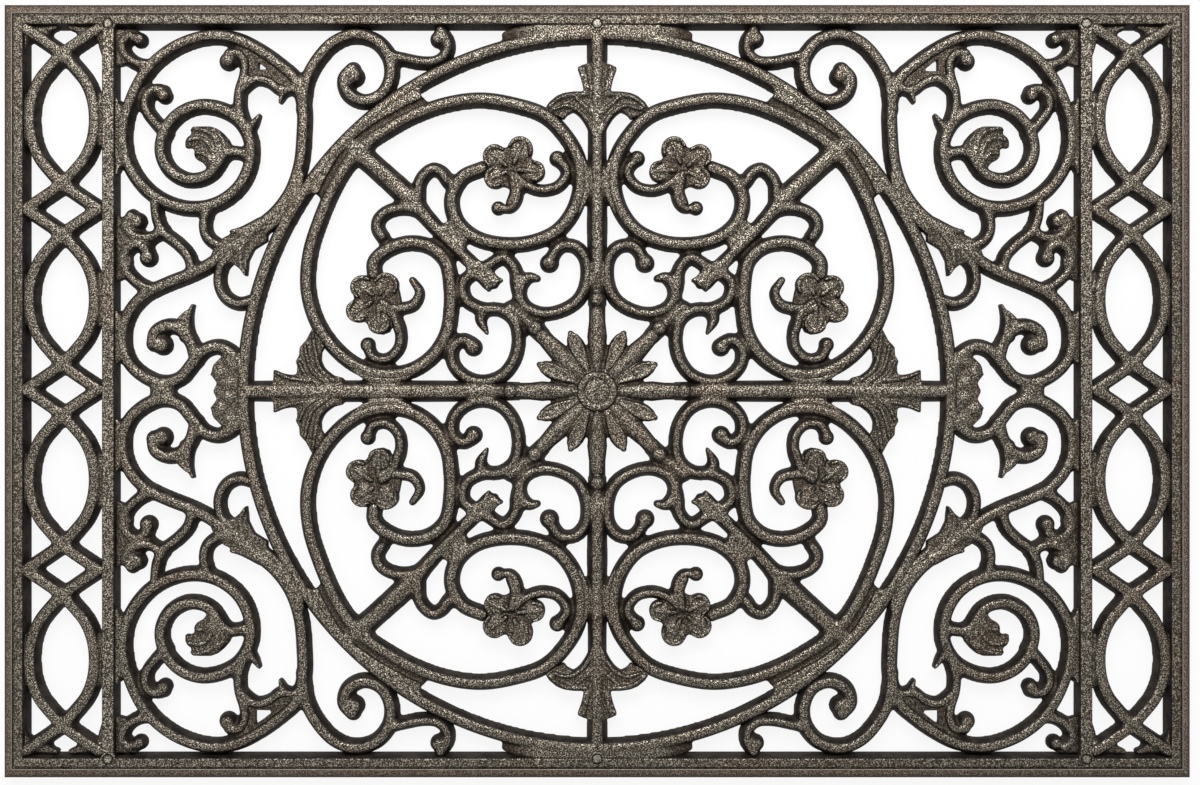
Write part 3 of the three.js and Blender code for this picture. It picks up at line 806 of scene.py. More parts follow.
class ReliefBase:
    """Gathers drawings in the base mesh that the relief tree reads."""

    def __init__(self, spacing: float) -> None:
        """Starts an empty base.

        Args:
            spacing: The greatest distance between the samples of a rib, in millimetres.
        """
        self.spacing = spacing
        self.points: list[tuple[float, float, float]] = []
        self.edges: list[tuple[int, int]] = []
        self.faces: list[list[int]] = []
        self.values: dict[str, list[float]] = {name: [] for name in ATTRIBUTES}

    def add(self, drawing: Drawing) -> None:
        """Adds a drawing's ribs, knobs and plates.

        Args:
            drawing: The drawing, in its place on the mat.
        """
        for rib in drawing.ribs:
            self._add_rib(rib)
        for knob in drawing.knobs:
            self._body(Kind.KNOB, knob.centre, knob.radius, knob.crown, knob)
        for plate in drawing.plates:
            self._add_plate(plate)

    def mesh(self, name: str) -> bpy.types.Mesh:
        """Makes the base mesh.

        Args:
            name: The mesh's name.

        Returns:
            The mesh, in metres, with its attributes.
        """
        made = bpy.data.meshes.new(name)
        made.from_pydata(self.points, self.edges, self.faces)
        for field_name, values in self.values.items():
            made.attributes.new(field_name, "FLOAT", "POINT").data.foreach_set("value", values)
        return made

    def _add_rib(self, rib: Rib) -> None:
        """Adds a rib's centre line, and a knob at each end that is rounded.

        Args:
            rib: The rib.
        """
        first = len(self.points)
        samples = smooth_line(rib.line, self.spacing, rib.closed)
        for at, place in samples:
            self._body(Kind.RIB, (at.x, at.y), rib.foot(place), rib.ridge(place), rib)
        last = len(self.points) - 1
        self.edges += [(i, i + 1) for i in range(first, last)]
        if rib.closed:
            self.edges.append((last, first))
        elif rib.ends:
            for at, place in (samples[0], samples[-1]):
                self._body(Kind.KNOB, (at.x, at.y), rib.foot(place), rib.ridge(place), rib)

    def _body(
        self, kind: Kind, at: Point, half_width: float, crown: float, shape: Rib | Knob
    ) -> None:
        """Adds a point on which the relief tree builds a crowned body.

        Args:
            kind: Whether it belongs to a rib or a knob.
            at: Its place.
            half_width: Half the body's width at the foot, or its radius.
            crown: The height of the body's ridge.
            shape: Gives the drop and the bluntness.
        """
        drop = min(shape.drop * half_width, DEEPEST_DROP)
        row = (half_width * MM, crown * MM, drop * MM, shape.bluntness)
        self._point(kind, at, 0.0, row)

    def _add_plate(self, plate: Plate) -> None:
        """Adds a plate as a closed solid.

        Args:
            plate: The plate.
        """
        first = len(self.points)
        outline = [Vector(point) for point in plate.outline]
        area = sum(a.cross(b) for a, b in zip(outline, outline[1:] + outline[:1]))
        if area < 0:
            outline.reverse()
        count = len(outline)
        for height in (UNDERSIDE, plate.top):
            for at in outline:
                self._point(Kind.PLATE, (at.x, at.y), height, (0.0, 0.0, 0.0, 0.0))
        self.faces.append([first + i for i in reversed(range(count))])
        self.faces.append([first + count + i for i in range(count)])
        for i in range(count):
            j = (i + 1) % count
            self.faces.append([first + i, first + j, first + count + j, first + count + i])

    def _point(self, kind: Kind, at: Point, height: float, row: Sequence[float]) -> None:
        """Adds one point with its attributes.

        Args:
            kind: What the point belongs to.
            at: Its place, in millimetres.
            height: Its height, in millimetres.
            row: The values of the attributes that follow the kind, in metres.
        """
        self.points.append((at[0] * MM, at[1] * MM, height * MM))
        kinds = (float(kind is Kind.RIB), float(kind is Kind.KNOB))
        for name, value in zip(ATTRIBUTES, (*kinds, *row)):
            self.values[name].append(value)


# Geometry trees


class ShapingTree:
    """A geometry tree with named inputs, which ends in Realize Instances and Set Material."""

    def __init__(self, name: str, inputs: Mapping[str, str]) -> None:
        """Builds the tree and keeps the identifiers of its inputs.

        Args:
            name: The tree's name.
            inputs: The inputs' names and socket types, besides the geometry and the finish.
        """
        self.name = name
        self.tree = bpy.data.node_groups.new(name, "GeometryNodeTree")
        face = self.tree.interface
        face.new_socket(name="Geometry", in_out="INPUT", socket_type="NodeSocketGeometry")
        self.inputs = {
            label: face.new_socket(name=label, in_out="INPUT", socket_type=kind).identifier
            for label, kind in {**inputs, "Finish": "NodeSocketMaterial"}.items()
        }
        face.new_socket(name="Geometry", in_out="OUTPUT", socket_type="NodeSocketGeometry")
        graph = Graph(self.tree)
        entry = graph.node("NodeGroupInput")
        given = {socket.name: Value(graph, socket) for socket in entry.outputs if socket.name}
        solid = graph.value("GeometryNodeRealizeInstances", inputs={0: self._shaped(graph, given)})
        dressed = graph.value(
            "GeometryNodeSetMaterial", inputs={"Geometry": solid, "Material": given["Finish"]}
        )
        graph.node("NodeGroupOutput", inputs={0: dressed})

    def _shaped(self, graph: Graph, given: Mapping[str, Value]) -> Value:
        """What the tree makes of its inputs."""
        raise NotImplementedError

    def set_on(self, obj: bpy.types.Object, **values: Any) -> None:
        """Puts the tree on an object.

        Args:
            obj: The object.
            values: What the tree's inputs are set to.
        """
        modifier = obj.modifiers.new(self.name, "NODES")
        modifier.node_group = self.tree
        for label, value in values.items():
            modifier[self.inputs[label]] = value


class ReliefTree(ShapingTree):
    """The geometry tree that gives ribs and knobs their crowned bodies."""

    def __init__(self) -> None:
        """Builds the tree with inputs for the underside's height and the bodies' sides."""
        inputs = {"Underside": "NodeSocketFloat", "Sides": "NodeSocketInt"}
        super().__init__("crowned_relief", inputs)

    def _shaped(self, graph: Graph, given: Mapping[str, Value]) -> Value:
        """Builds the bodies of the ribs and the knobs and leaves the plates as they are.

        Args:
            graph: The tree's graph.
            given: The tree's inputs.

        Returns:
            All bodies and plates.
        """
        ribs = graph.node(
            "GeometryNodeSeparateGeometry",
            {"domain": "POINT"},
            {"Geometry": given["Geometry"], "Selection": graph.named("is_rib")},
        )
        knobs = graph.node(
            "GeometryNodeSeparateGeometry",
            {"domain": "POINT"},
            {"Geometry": Value(graph, ribs.outputs[1]), "Selection": graph.named("is_knob")},
        )
        bodies = self._join(
            graph,
            self._rib_bodies(graph, Value(graph, ribs.outputs[0]), given["Sides"]),
            self._knob_bodies(graph, Value(graph, knobs.outputs[0]), given["Sides"]),
        )
        crowned = self._crowned(graph, bodies, given["Underside"])
        return self._join(graph, crowned, Value(graph, knobs.outputs[1]))

    def _rib_bodies(self, graph: Graph, lines: Value, sides: Value) -> Value:
        """Sweeps a profile of unit width along the lines, scaled by their half width.

        Args:
            graph: The tree's graph.
            lines: The ribs' centre lines.
            sides: How many sides the profile has.

        Returns:
            The ribs' bodies, with their upper half marked and their reach from the middle.
        """
        curves = graph.value("GeometryNodeMeshToCurve", inputs={0: lines})
        level = graph.value("GeometryNodeSetCurveNormal", {"mode": "Z_UP"}, {"Curve": curves})
        circle = graph.value(
            "GeometryNodeCurvePrimitiveCircle",
            {"mode": "RADIUS"},
            {"Resolution": sides, "Radius": 1.0},
        )
        x, y, _ = graph.parts(graph.value("GeometryNodeInputPosition"))
        upper = y > -0.01
        wide = (x * 1.3).limited(-1.0, 1.0)
        across = upper * x + (1.0 - upper) * wide
        profile = graph.value(
            "GeometryNodeSetPosition",
            inputs={"Geometry": circle, "Position": graph.whole(across, y, 0.0)},
        )
        profile = self._store(graph, profile, "upper", upper)
        x, _, _ = graph.parts(graph.value("GeometryNodeInputPosition"))
        profile = self._store(graph, profile, "reach", abs(x))
        return graph.value(
            "GeometryNodeCurveToMesh",
            inputs={
                "Curve": level,
                "Profile Curve": profile,
                "Scale": graph.named("half_width"),
                "Fill Caps": True,
            },
        )

    def _knob_bodies(self, graph: Graph, points: Value, sides: Value) -> Value:
        """Sets a round body of the right radius on each point.

        Args:
            graph: The tree's graph.
            points: The middles of the knobs.
            sides: How many sides a knob has.

        Returns:
            The knobs' bodies, with their upper half marked and their reach from the middle.
        """
        segments = {"Side Segments": 1, "Fill Segments": 6}
        drum = graph.value(
            "GeometryNodeMeshCylinder",
            {"fill_type": "TRIANGLE_FAN"},
            {"Vertices": sides, **segments, "Radius": 1.0, "Depth": 1.0},
        )
        x, y, z = graph.parts(graph.value("GeometryNodeInputPosition"))
        drum = self._store(graph, drum, "upper", z > 0.0)
        drum = self._store(graph, drum, "reach", graph.math("SQRT", x * x + y * y))
        half = graph.named("half_width")
        placed = graph.value(
            "GeometryNodeInstanceOnPoints",
            inputs={"Points": points, "Instance": drum, "Scale": graph.whole(half, half, 1.0)},
        )
        return graph.value("GeometryNodeRealizeInstances", inputs={0: placed})

    def _crowned(self, graph: Graph, bodies: Value, underside: Value) -> Value:
        """Lifts the top of each body to its crown and sets the rest on the underside.

        Args:
            graph: The tree's graph.
            bodies: The ribs and the knobs.
            underside: The height of the underside.

        Returns:
            The bodies in their final shape.
        """
        x, y, _ = graph.parts(graph.value("GeometryNodeInputPosition"))
        upper = graph.named("upper")
        fall = graph.named("reach") ** graph.named("bluntness")
        top = graph.named("crown") - graph.named("drop") * fall
        height = upper * top + (1.0 - upper) * underside
        return graph.value(
            "GeometryNodeSetPosition",
            inputs={"Geometry": bodies, "Position": graph.whole(x, y, height)},
        )

    @staticmethod
    def _store(graph: Graph, geometry: Value, name: str, value: Value) -> Value:
        """Keeps a value on a geometry's points.

        Args:
            graph: The tree's graph.
            geometry: The geometry.
            name: The name of the attribute.
            value: The value.

        Returns:
            The geometry with its attribute.
        """
        return graph.value(
            "GeometryNodeStoreNamedAttribute",
            {"data_type": "FLOAT", "domain": "POINT"},
            {"Geometry": geometry, "Name": name, "Value": value},
        )

    @staticmethod
    def _join(graph: Graph, *parts: Value) -> Value:
        """Joins geometries.

        Args:
            graph: The tree's graph.
            parts: The geometries.

        Returns:
            The joined geometry.
        """
        join = graph.node("GeometryNodeJoinGeometry")
        for part in parts:
            graph.tree.links.new(part.socket, join.inputs[0])
        return Value(graph, join.outputs[0])


class SetOnPointsTree(ShapingTree):
    """The geometry tree that sets copies of one turned piece on points."""

    def __init__(self) -> None:
        """Builds the tree with an input for the piece."""
        super().__init__("set_on_points", {"Piece": "NodeSocketObject"})

    def _shaped(self, graph: Graph, given: Mapping[str, Value]) -> Value:
        """Sets the piece on each point.

        Args:
            graph: The tree's graph.
            given: The tree's inputs.

        Returns:
            The copies of the piece.
        """
        piece = graph.value(
            "GeometryNodeObjectInfo", inputs={"Object": given["Piece"]}, output="Geometry"
        )
        return graph.value(
            "GeometryNodeInstanceOnPoints", inputs={"Points": given["Geometry"], "Instance": piece}
        )


# Meshes


def plain_mesh(obj: bpy.types.Object, name: str) -> bpy.types.Mesh:
    """Turns an object with modifiers into a plain mesh and removes the object.

    Args:
        obj: The object, whose modifiers are removed with it.
        name: The new mesh's name.

    Returns:
        The evaluated mesh.
    """
    bpy.context.view_layer.update()
    graph = bpy.context.evaluated_depsgraph_get()
    made = bpy.data.meshes.new_from_object(obj.evaluated_get(graph))
    obj.modifiers.clear()
    bpy.data.meshes.remove(obj.data)
    made.name = name
    return made


def solid_mesh(
    shape: bmesh.types.BMesh, name: str, *finishes: bpy.types.Material
) -> bpy.types.Mesh:
    """Turns a closed shape into a mesh whose faces point outwards.

    Args:
        shape: The shape, which is freed.
        name: The new mesh's name.
        finishes: Its material, if it gets one.

    Returns:
        The mesh.
    """
    bmesh.ops.recalc_face_normals(shape, faces=shape.faces)
    mesh = bpy.data.meshes.new(name)
    shape.to_mesh(mesh)
    shape.free()
    for finish in finishes:
        mesh.materials.append(finish)
    return mesh


def skin(
    shape: bmesh.types.BMesh,
    first: Sequence[bmesh.types.BMVert],
    last: Sequence[bmesh.types.BMVert],
) -> None:
    """Joins two rings of vertices with faces.

    Args:
        shape: The shape that the rings belong to.
        first: One ring.
        last: The other ring. Either may be a single vertex.
    """
    count = max(len(first), len(last))
    for i in range(count):
        corners = [ring[k % len(ring)] for ring, k in ((first, i), (first, i + 1))]
        corners += [ring[k % len(ring)] for ring, k in ((last, i + 1), (last, i))]
        shape.faces.new(list(dict.fromkeys(corners)))


def mirrored(mesh: bpy.types.Mesh, name: str, quarter: Quarter) -> bpy.types.Mesh:
    """Copies a mesh of the upper right quarter into another one.

    Args:
        mesh: The mesh.
        name: The copy's name.
        quarter: Where the copy goes.

    Returns:
        The copy, with its faces pointing outwards.
    """
    sx, sy = quarter.value
    copy = mesh.copy()
    copy.name = name
    copy.transform(Matrix.Diagonal((sx, sy, 1, 1)))
    if sx * sy < 0:
        copy.flip_normals()
    return copy


def as_object(name: str, mesh: bpy.types.Mesh) -> bpy.types.Object:
    """Makes an object at the origin and links it to the scene.

    Args:
        name: The object's name.
        mesh: Its mesh.

    Returns:
        The object.
    """
    obj = bpy.data.objects.new(name, mesh)
    bpy.context.scene.collection.objects.link(obj)
    return obj


# Casting


@dataclass
class Foundry:
    """Casts drawings into fused meshes."""

    finish: bpy.types.Material
    relief: ReliefTree = field(default_factory=ReliefTree)
    sides: int = 28
    spacing: float = 1.5
    softness: float = 0.5

    def cast(
        self, name: str, drawing: Drawing, *, grid: float, passes: int, underside: float
    ) -> bpy.types.Mesh:
        """Casts one piece.

        Args:
            name: The piece's name.
            drawing: What it is made of.
            grid: The size of the grid on which its ribs are fused, in millimetres.
            passes: How many times its joins are softened.
            underside: The height of its underside, in millimetres.

        Returns:
            The fused mesh, in metres.
        """
        base = ReliefBase(self.spacing * min(1.0, grid))
        base.add(drawing)
        obj = as_object(name, base.mesh(name))
        self.relief.set_on(obj, Underside=underside * MM, Sides=self.sides, Finish=self.finish)
        fuse = obj.modifiers.new("fuse", "REMESH")
        fuse.mode = "VOXEL"
        fuse.voxel_size = grid * MM
        fuse.use_smooth_shade = True
        soften = obj.modifiers.new("soften", "SMOOTH")
        soften.factor = self.softness
        soften.iterations = passes
        made = plain_mesh(obj, name)
        made.materials.clear()
        made.materials.append(self.finish)
        return made


def hand_over(mesh: bpy.types.Mesh, slot: str, *nodes: str) -> None:
    """Makes a mesh a piece that rides on the mat and stands for its nodes of the frame.

    Args:
        mesh: The piece's finished mesh, which gives it its name.
        slot: Not used.
        nodes: The nodes that it stands for, if any.
    """
    piece = as_object(mesh.name, mesh)
    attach(piece, "root")
    if nodes:
        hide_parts(*nodes)
    log.info("%s: %d faces", piece.name, len(mesh.polygons))


def hand_over_pair(right: bpy.types.Mesh, node: str) -> None:
    """Hands over a casting of the mat's right end and its mirror image at the left end.

    Args:
        right: The right one's mesh.
        node: The name of both nodes without the side.
    """
    left = mirrored(right, f"left_{node}_cast", Quarter.UPPER_LEFT)
    for mesh in (right, left):
        hand_over(mesh, "iron", mesh.name.removesuffix("_cast"))


# Sub-assemblies of the mat


@dataclass
class Surround:
    """The four rails with their sloping edge, and the two divider bars.

    A rail's profile runs inwards from the mat's edge, a bar's from side to side.
    """

    length: float = MAT_LENGTH
    width: float = MAT_WIDTH
    rail_width: float = 11.4
    divider_outer: float = 296.6
    divider_inner: float = 288.6
    overlap: float = 1.0
    row_spacing: float = 12.0
    rail_profile: Line = (
        (0.0, 3.0), (0.0, 8.3), (0.3, 8.9), (5.1, 12.3), (5.6, 12.7), (6.0, 12.6), (6.4, 12.0),
        (6.9, 12.0), (7.3, 12.7), (7.7, 12.92), (11.7, 12.92), (12.2, 12.65), (12.5, 12.0),
        (14.3, 3.0),
    )
    bar_profile: Line = (
        (-4.8, 3.0), (-3.7, 12.0), (-3.3, 12.7), (-2.8, 12.95), (2.8, 12.95), (3.3, 12.7),
        (3.7, 12.0), (4.8, 3.0),
    )

    def build(self, foundry: Foundry) -> None:
        """Builds and dresses the rails and the bars.

        Args:
            foundry: Gives the pieces their finish.
        """
        corners = [self._mitre(quarter) for quarter in Quarter]
        names = ("upper_rail", "left_rail", "lower_rail", "right_rail")
        for name, first, last in zip(names, corners, corners[1:] + corners[:1]):
            self._bar(foundry, name, first, last)
        middle = (self.divider_outer + self.divider_inner) / 2
        reach = self.width / 2 - self.rail_width + self.overlap
        for name, side in (("right_divider_bar", 1), ("left_divider_bar", -1)):
            ends = [
                [(side * middle + across, y, height) for across, height in self.bar_profile]
                for y in (-reach, reach)
            ]
            self._bar(foundry, name, *ends)

    def _mitre(self, quarter: Quarter) -> list[Place]:
        """The rails' profile where two of them meet in a corner.

        Args:
            quarter: Which corner.

        Returns:
            The places of the profile's points there.
        """
        sx, sy = quarter.value
        half_length, half_width = self.length / 2, self.width / 2
        return [
            (sx * (half_length - inset), sy * (half_width - inset), height)
            for inset, height in self.rail_profile
        ]

    def _bar(
        self, foundry: Foundry, name: str, first: Sequence[Place], last: Sequence[Place]
    ) -> None:
        """Makes a closed bar and dresses it.

        Args:
            foundry: Gives the bar its finish.
            name: The bar's node.
            first: The profile at one end.
            last: The profile at the other end.
        """
        shape = bmesh.new()
        length = (Vector(last[0]) - Vector(first[0])).length
        count = max(2, round(length / self.row_spacing))
        rows = [
            [
                shape.verts.new(Vector(a).lerp(Vector(b), step / count) * MM)
                for a, b in zip(first, last)
            ]
            for step in range(count + 1)
        ]
        for before, after in zip(rows, rows[1:]):
            skin(shape, before, after)
        shape.faces.new(rows[0])
        shape.faces.new(reversed(rows[-1]))
        hand_over(solid_mesh(shape, f"{name}_cast", foundry.finish), "iron", name)


@dataclass
class BorderLattice:
    """The crossed bows between a rail and its divider bar."""

    middle: float = 320.6
    lenses: int = 4
    lens: float = 108.2
    rise: float = 1.0
    rib: float = 7.2
    crown: float = 12.7
    underside: float = 3.12
    half_bow: Line = (
        (-22, 0), (-10, 7.9), (0, 15.2), (8, 23.7), (13.8, 31.2), (18, 41.6), (19.5, 54.1),
    )
    seam_across: float = 24.2
    seam_reach: float = 17.0
    seam_widths: tuple[float, ...] = (1.5, 6, 1.5)
    seam_crown: float = 10.4
    end_webs: tuple[tuple[Line, tuple[float, ...]], ...] = (
        (((-22, 0.5), (-13, 0.8), (-4, -1.0)), (6, 5.5, 2.5)),
        (((-24, 2), (-23.6, 9), (-24, 17)), (6, 5, 1)),
    )
    web_crown: float = 10.2

    def drawing(self) -> Drawing:
        """Draws the right border's bows, their fillings and the webs at their ends.

        Returns:
            The drawing, in its place on the mat.
        """
        back = [(across, self.lens - reach) for across, reach in self.half_bow[-2::-1]]
        bow = (*self.half_bow, *back)
        ribs = []
        for lens in range(self.lenses):
            start = self.rise + (lens - self.lenses / 2) * self.lens
            waist = start + self.lens / 2
            for hand in (1, -1):
                line = [(self.middle + hand * across, start + reach) for across, reach in bow]
                ribs.append(Rib(tuple(line), (self.rib,), crown=self.crown, bluntness=4.0))
                side = self.middle + hand * self.seam_across
                line = [(side, waist + reach) for reach in (-self.seam_reach, 0, self.seam_reach)]
                ribs.append(seam(self.seam_widths, *line, crown=self.seam_crown, ends=False))
        for hand in (1, -1):
            for end in (1, -1):
                top = self.rise + end * self.lens * self.lenses / 2
                for web, widths in self.end_webs:
                    line = [(self.middle + hand * across, top - end * down) for across, down in web]
                    ribs.append(Rib(tuple(line), widths, self.web_crown, flank=0.4, drop=0.6))
        return Drawing(tuple(ribs))

    def build(self, foundry: Foundry) -> None:
        """Builds and dresses both lattices.

        Args:
            foundry: Casts the ribs and gives the pieces their finish.
        """
        name = "right_border_lattice_cast"
        right = foundry.cast(
            name, self.drawing(), grid=1.0, passes=2, underside=self.underside
        )
        hand_over_pair(right, "border_lattice")


@dataclass(frozen=True)
class Flower:
    """A flower: four cupped petals round a sunken eye, and the stem that covers the fifth.

    A petal is given by the place of its middle and its radius.
    """

    eye: Point
    petals: tuple[Place, ...]
    outline: Line
    stem: Line
    stem_widths: tuple[float, ...] = (4.6, 5.2, 5.4, 5.0)
    stem_crown: float = 12.7
    rim_widths: tuple[float, ...] = (1.4, 2.5, 2.7, 2.7, 1.4)
    rim_crown: float = 12.3
    rim_inset: float = 1.3
    rim_turn: float = 0.55
    ridge_widths: tuple[float, ...] = (2.2, 3.4, 1.4)
    ridge_crown: float = 12.0
    ridge_shares: tuple[float, ...] = (0.26, 0.6, 1.0)
    ridge_reach: float = 0.45
    cup: float = 10.8
    floor: float = 9.5

    def drawing(self) -> Drawing:
        """Draws the petals on their shared floor, each with a turned-up rim and a ridge.

        Returns:
            The drawing, before it is seated.
        """
        ex, ey = self.eye
        stem = Rib(
            self.stem, self.stem_widths, self.stem_crown, flank=0.6, drop=1.0, bluntness=2.0
        )
        ribs = [stem]
        knobs = []
        for x, y, radius in self.petals:
            axis = math.atan2(y - ey, x - ex)
            edge = radius - self.rim_inset
            turns = [axis + self.rim_turn * i for i in range(-3, 4)]
            rim = [(x + edge * math.cos(turn), y + edge * math.sin(turn)) for turn in turns]
            reach = math.hypot(x - ex, y - ey) + self.ridge_reach * radius
            ridge = [
                (ex + share * reach * math.cos(axis), ey + share * reach * math.sin(axis))
                for share in self.ridge_shares
            ]
            knobs.append(Knob((x, y), radius, crown=self.cup, drop=0.2))
            ribs.append(self._crease(rim, self.rim_widths, self.rim_crown, 0.7))
            ribs.append(self._crease(ridge, self.ridge_widths, self.ridge_crown, 0.9))
        return Drawing(tuple(ribs), tuple(knobs), (Plate(self.outline, self.floor),))

    @staticmethod
    def _crease(
        line: Iterable[Point], widths: tuple[float, ...], crown: float, drop: float
    ) -> Rib:
        """A fine raised line on a petal."""
        return Rib(tuple(line), widths, crown, flank=0.3, drop=drop, bluntness=1.8)


@dataclass
class Tracery:
    """The tracery of one quarter of the medallion, with its two flowers."""

    ribs: tuple[Rib, ...] = (
        lobe(
            (150, 139), (141, 149), (128, 158), (110, 168), (90, 175), (70, 177.5), (50, 174.5),
            (31.5, 168), (19, 155.5), (11.6, 142), (9.8, 127), (14, 111), (24, 98.2), (40, 91.2),
            (58, 90.2), (73.5, 94.3), (84.5, 104.2), (87.5, 118), (81, 130.5), (69, 136),
        ),
        lobe(
            (134, 72), (134, 79.5), (126, 87), (113, 91), (100, 88.5), (91, 80), (88, 65),
            (88, 50), (90.5, 36), (99, 22.5), (113, 13.5), (130, 12), (144, 16.5), (157, 26.5),
            (168, 42), (174, 62), (173, 84), (167, 104), (158.5, 124), (150, 138), (138, 150),
        ),
        Rib(
            ((146, 148), (129, 133), (113, 118), (94, 97), (72, 75.5)),
            (11.5, 11.5, 11.5, 12, 12, 8, 7.2, 6.6, 6), bluntness=2.8,
        ),
        Rib(
            ((20, 21.5), (31, 33), (37.5, 40), (44, 45.5), (52, 52)),
            (7.6, 7.6, 9.6, 8.6, 7), crown=(12, 10.6, 10.2, 10.6, 12), bluntness=2.2,
        ),
        seam(
            (4, 4.6, 5, 5, 5, 4.6, 2), (105.4, 176.6), (112, 173), (130.5, 162.4), (144.2, 152.9),
            (154.2, 141.4), (163, 126.3), (167, 120), crown=9.2,
        ),
        scroll(
            (28, 81), (22, 89), (13, 88.7), (7, 81.5), (6.3, 68), (11, 57), (21, 50.3),
            (33, 48.3), (43.5, 53), (48, 64), (49.3, 75), (56, 82), (66, 77),
        ),
        Rib(((47, 58), (45.5, 66), (41, 70), (36, 69.5)), (6.3, 6.3, 3)),
        scroll(
            (75, 30), (81, 32.5), (87, 27), (86.5, 18), (80, 10.5), (69, 7.2), (57, 11),
            (49.5, 21), (47.3, 34), (50, 44.5), (58, 50.5), (70, 51.5), (79, 57), (80.5, 67),
            (73, 74),
        ),
        tendril((23, 141), (18, 134), (23, 125.5), (33, 122.8), (42, 125.5), (49, 131)),
        Rib(((49, 131), (48, 119), (52, 112), (58, 111.5)), (5.4, 5, 3)),
        tendril(
            (138, 29), (134.5, 22), (126, 21), (119, 28), (118.5, 39), (122.5, 47), (130, 52),
        ),
        Rib(((130, 52), (120, 51.3), (110.5, 53.5), (106.7, 61), (111, 68.5)), (6, 5.4, 3)),
        arch((90, 128.5), (93.4, 133.4), (98.6, 135.6), (104, 132), (107, 126.5), (107.6, 117)),
        arch(
            (105, 109), (111.4, 111.6), (119.9, 111.8), (127, 109.4), (131.4, 105), (132, 99.5),
            (129, 94.6),
        ),
    )
    knobs: tuple[Knob, ...] = (
        Knob((28.8, 78.8), 6.0),
        Knob((59.5, 112), 4.4),
        Knob((74.5, 28), 5.7),
        Knob((24, 142), 5.0),
        Knob((138, 29.5), 4.7),
        boss((37.3, 39.6), 5.4),
    )
    leaves: tuple[Rib, ...] = (
        fold((6, 7, 2.5), (66, 66), (72, 73), (80, 80)),
        fold((4, 6, 2.5), (64, 68), (68, 75), (71.5, 79.5)),
        fold((5, 4, 2), (62, 66), (60, 68), (57.5, 68.5)),
        fold((6, 4, 2), (67, 68), (66, 65), (65.3, 62.5)),
        fold((9, 7, 2), (68.5, 50), (69.8, 44.5), (66.2, 36.5)),
    )
    palmate: Plate = plate(
        10.9, (80, 80), (71, 79.5), (64, 75.5), (57.5, 68.5), (64.5, 69.5), (65.5, 62.5),
        (71, 68), (77, 70),
    )
    web: Plate = plate(
        10.6, (91.3, 103.8), (94, 98), (86, 90), (79, 88), (78.4, 91.2), (82, 97), (86, 103),
    )
    seat: Plate = plate(
        11.4, (101.5, 189.5), (120, 178.7), (135, 167.3), (150, 153.5), (162, 140.3),
        (172, 127.3), (177.5, 117.5), (171, 121), (167.2, 119.8), (164.5, 127), (155.6, 142.5),
        (145.6, 154.2), (131.6, 163.9), (112.9, 174.3), (104.8, 178), (106.5, 181.5),
    )
    flowers: tuple[Flower, ...] = (
        Flower(
            (51.5, 134.8),
            ((61, 142.5, 7.6), (46.3, 147.0, 7.8), (38.0, 134.0, 6.6), (61.2, 130.2, 6.6)),
            (
                (67.5, 143), (66.8, 146.4), (64, 148.4), (60.5, 149), (56.6, 148.2), (54, 148.6),
                (51.2, 151.8), (47.6, 153.6), (44, 153.8), (41.4, 151.8), (40.3, 148),
                (39.8, 142.6), (36, 138.4), (33, 136.8), (32.2, 134.6), (33, 131.8),
                (35.2, 127.8), (41, 126.2), (44.6, 123), (51, 122.6), (55.6, 125), (61, 124.4),
                (65.4, 126.9), (66.8, 129.6), (65.6, 133.4), (67.6, 138.4),
            ),
            ((51.0, 132), (50.2, 126.5), (49.5, 121.5), (52, 114.5)),
        ),
        Flower(
            (131.5, 57.5),
            ((127, 65, 7.8), (140.6, 63.8, 7.4), (143.3, 50.0, 7.2), (130.8, 43.2, 7.2)),
            (
                (140, 71.4), (143.8, 69.4), (146.7, 66.3), (147.2, 62.9), (146, 57.1), (149, 52),
                (149.5, 48.4), (147, 44.3), (143.3, 43.1), (139.5, 43.3), (135.8, 39.7),
                (132.5, 36.4), (129.1, 35.5), (124.8, 37.2), (121.4, 45.2), (119.5, 50),
                (117.5, 55), (118.9, 62.1), (120.2, 66.3), (121.9, 69.9), (124.8, 72),
                (128.6, 72.5), (134, 71.5),
            ),
            ((129, 55), (124.5, 51.5), (121.5, 46.5), (119, 38)),
        ),
    )
    underside: float = 3.06
    flower_underside: float = 3.2

    def drawing(self) -> Drawing:
        """The ribs, knobs and leaves of the quarter."""
        plates = (self.palmate, self.web, self.seat)
        return Drawing((*self.ribs, *self.leaves), self.knobs, plates)

    def build(self, foundry: Foundry) -> None:
        """Builds and dresses the tracery and the flowers in all quarters.

        Args:
            foundry: Casts the ribs and gives the pieces their finish.
        """
        tracery = foundry.cast(
            "tracery", self.drawing().seated(), grid=1.0, passes=2, underside=self.underside
        )
        blossoms = sum((flower.drawing() for flower in self.flowers), Drawing())
        flowers = foundry.cast(
            "flowers", blossoms.seated(), grid=0.6, passes=1, underside=self.flower_underside
        )
        for quarter in Quarter:
            node = f"{quarter.label}_tracery"
            hand_over(mirrored(tracery, f"{node}_cast", quarter), "iron", node)
            hand_over(mirrored(flowers, f"{quarter.label}_flowers", quarter), "iron")


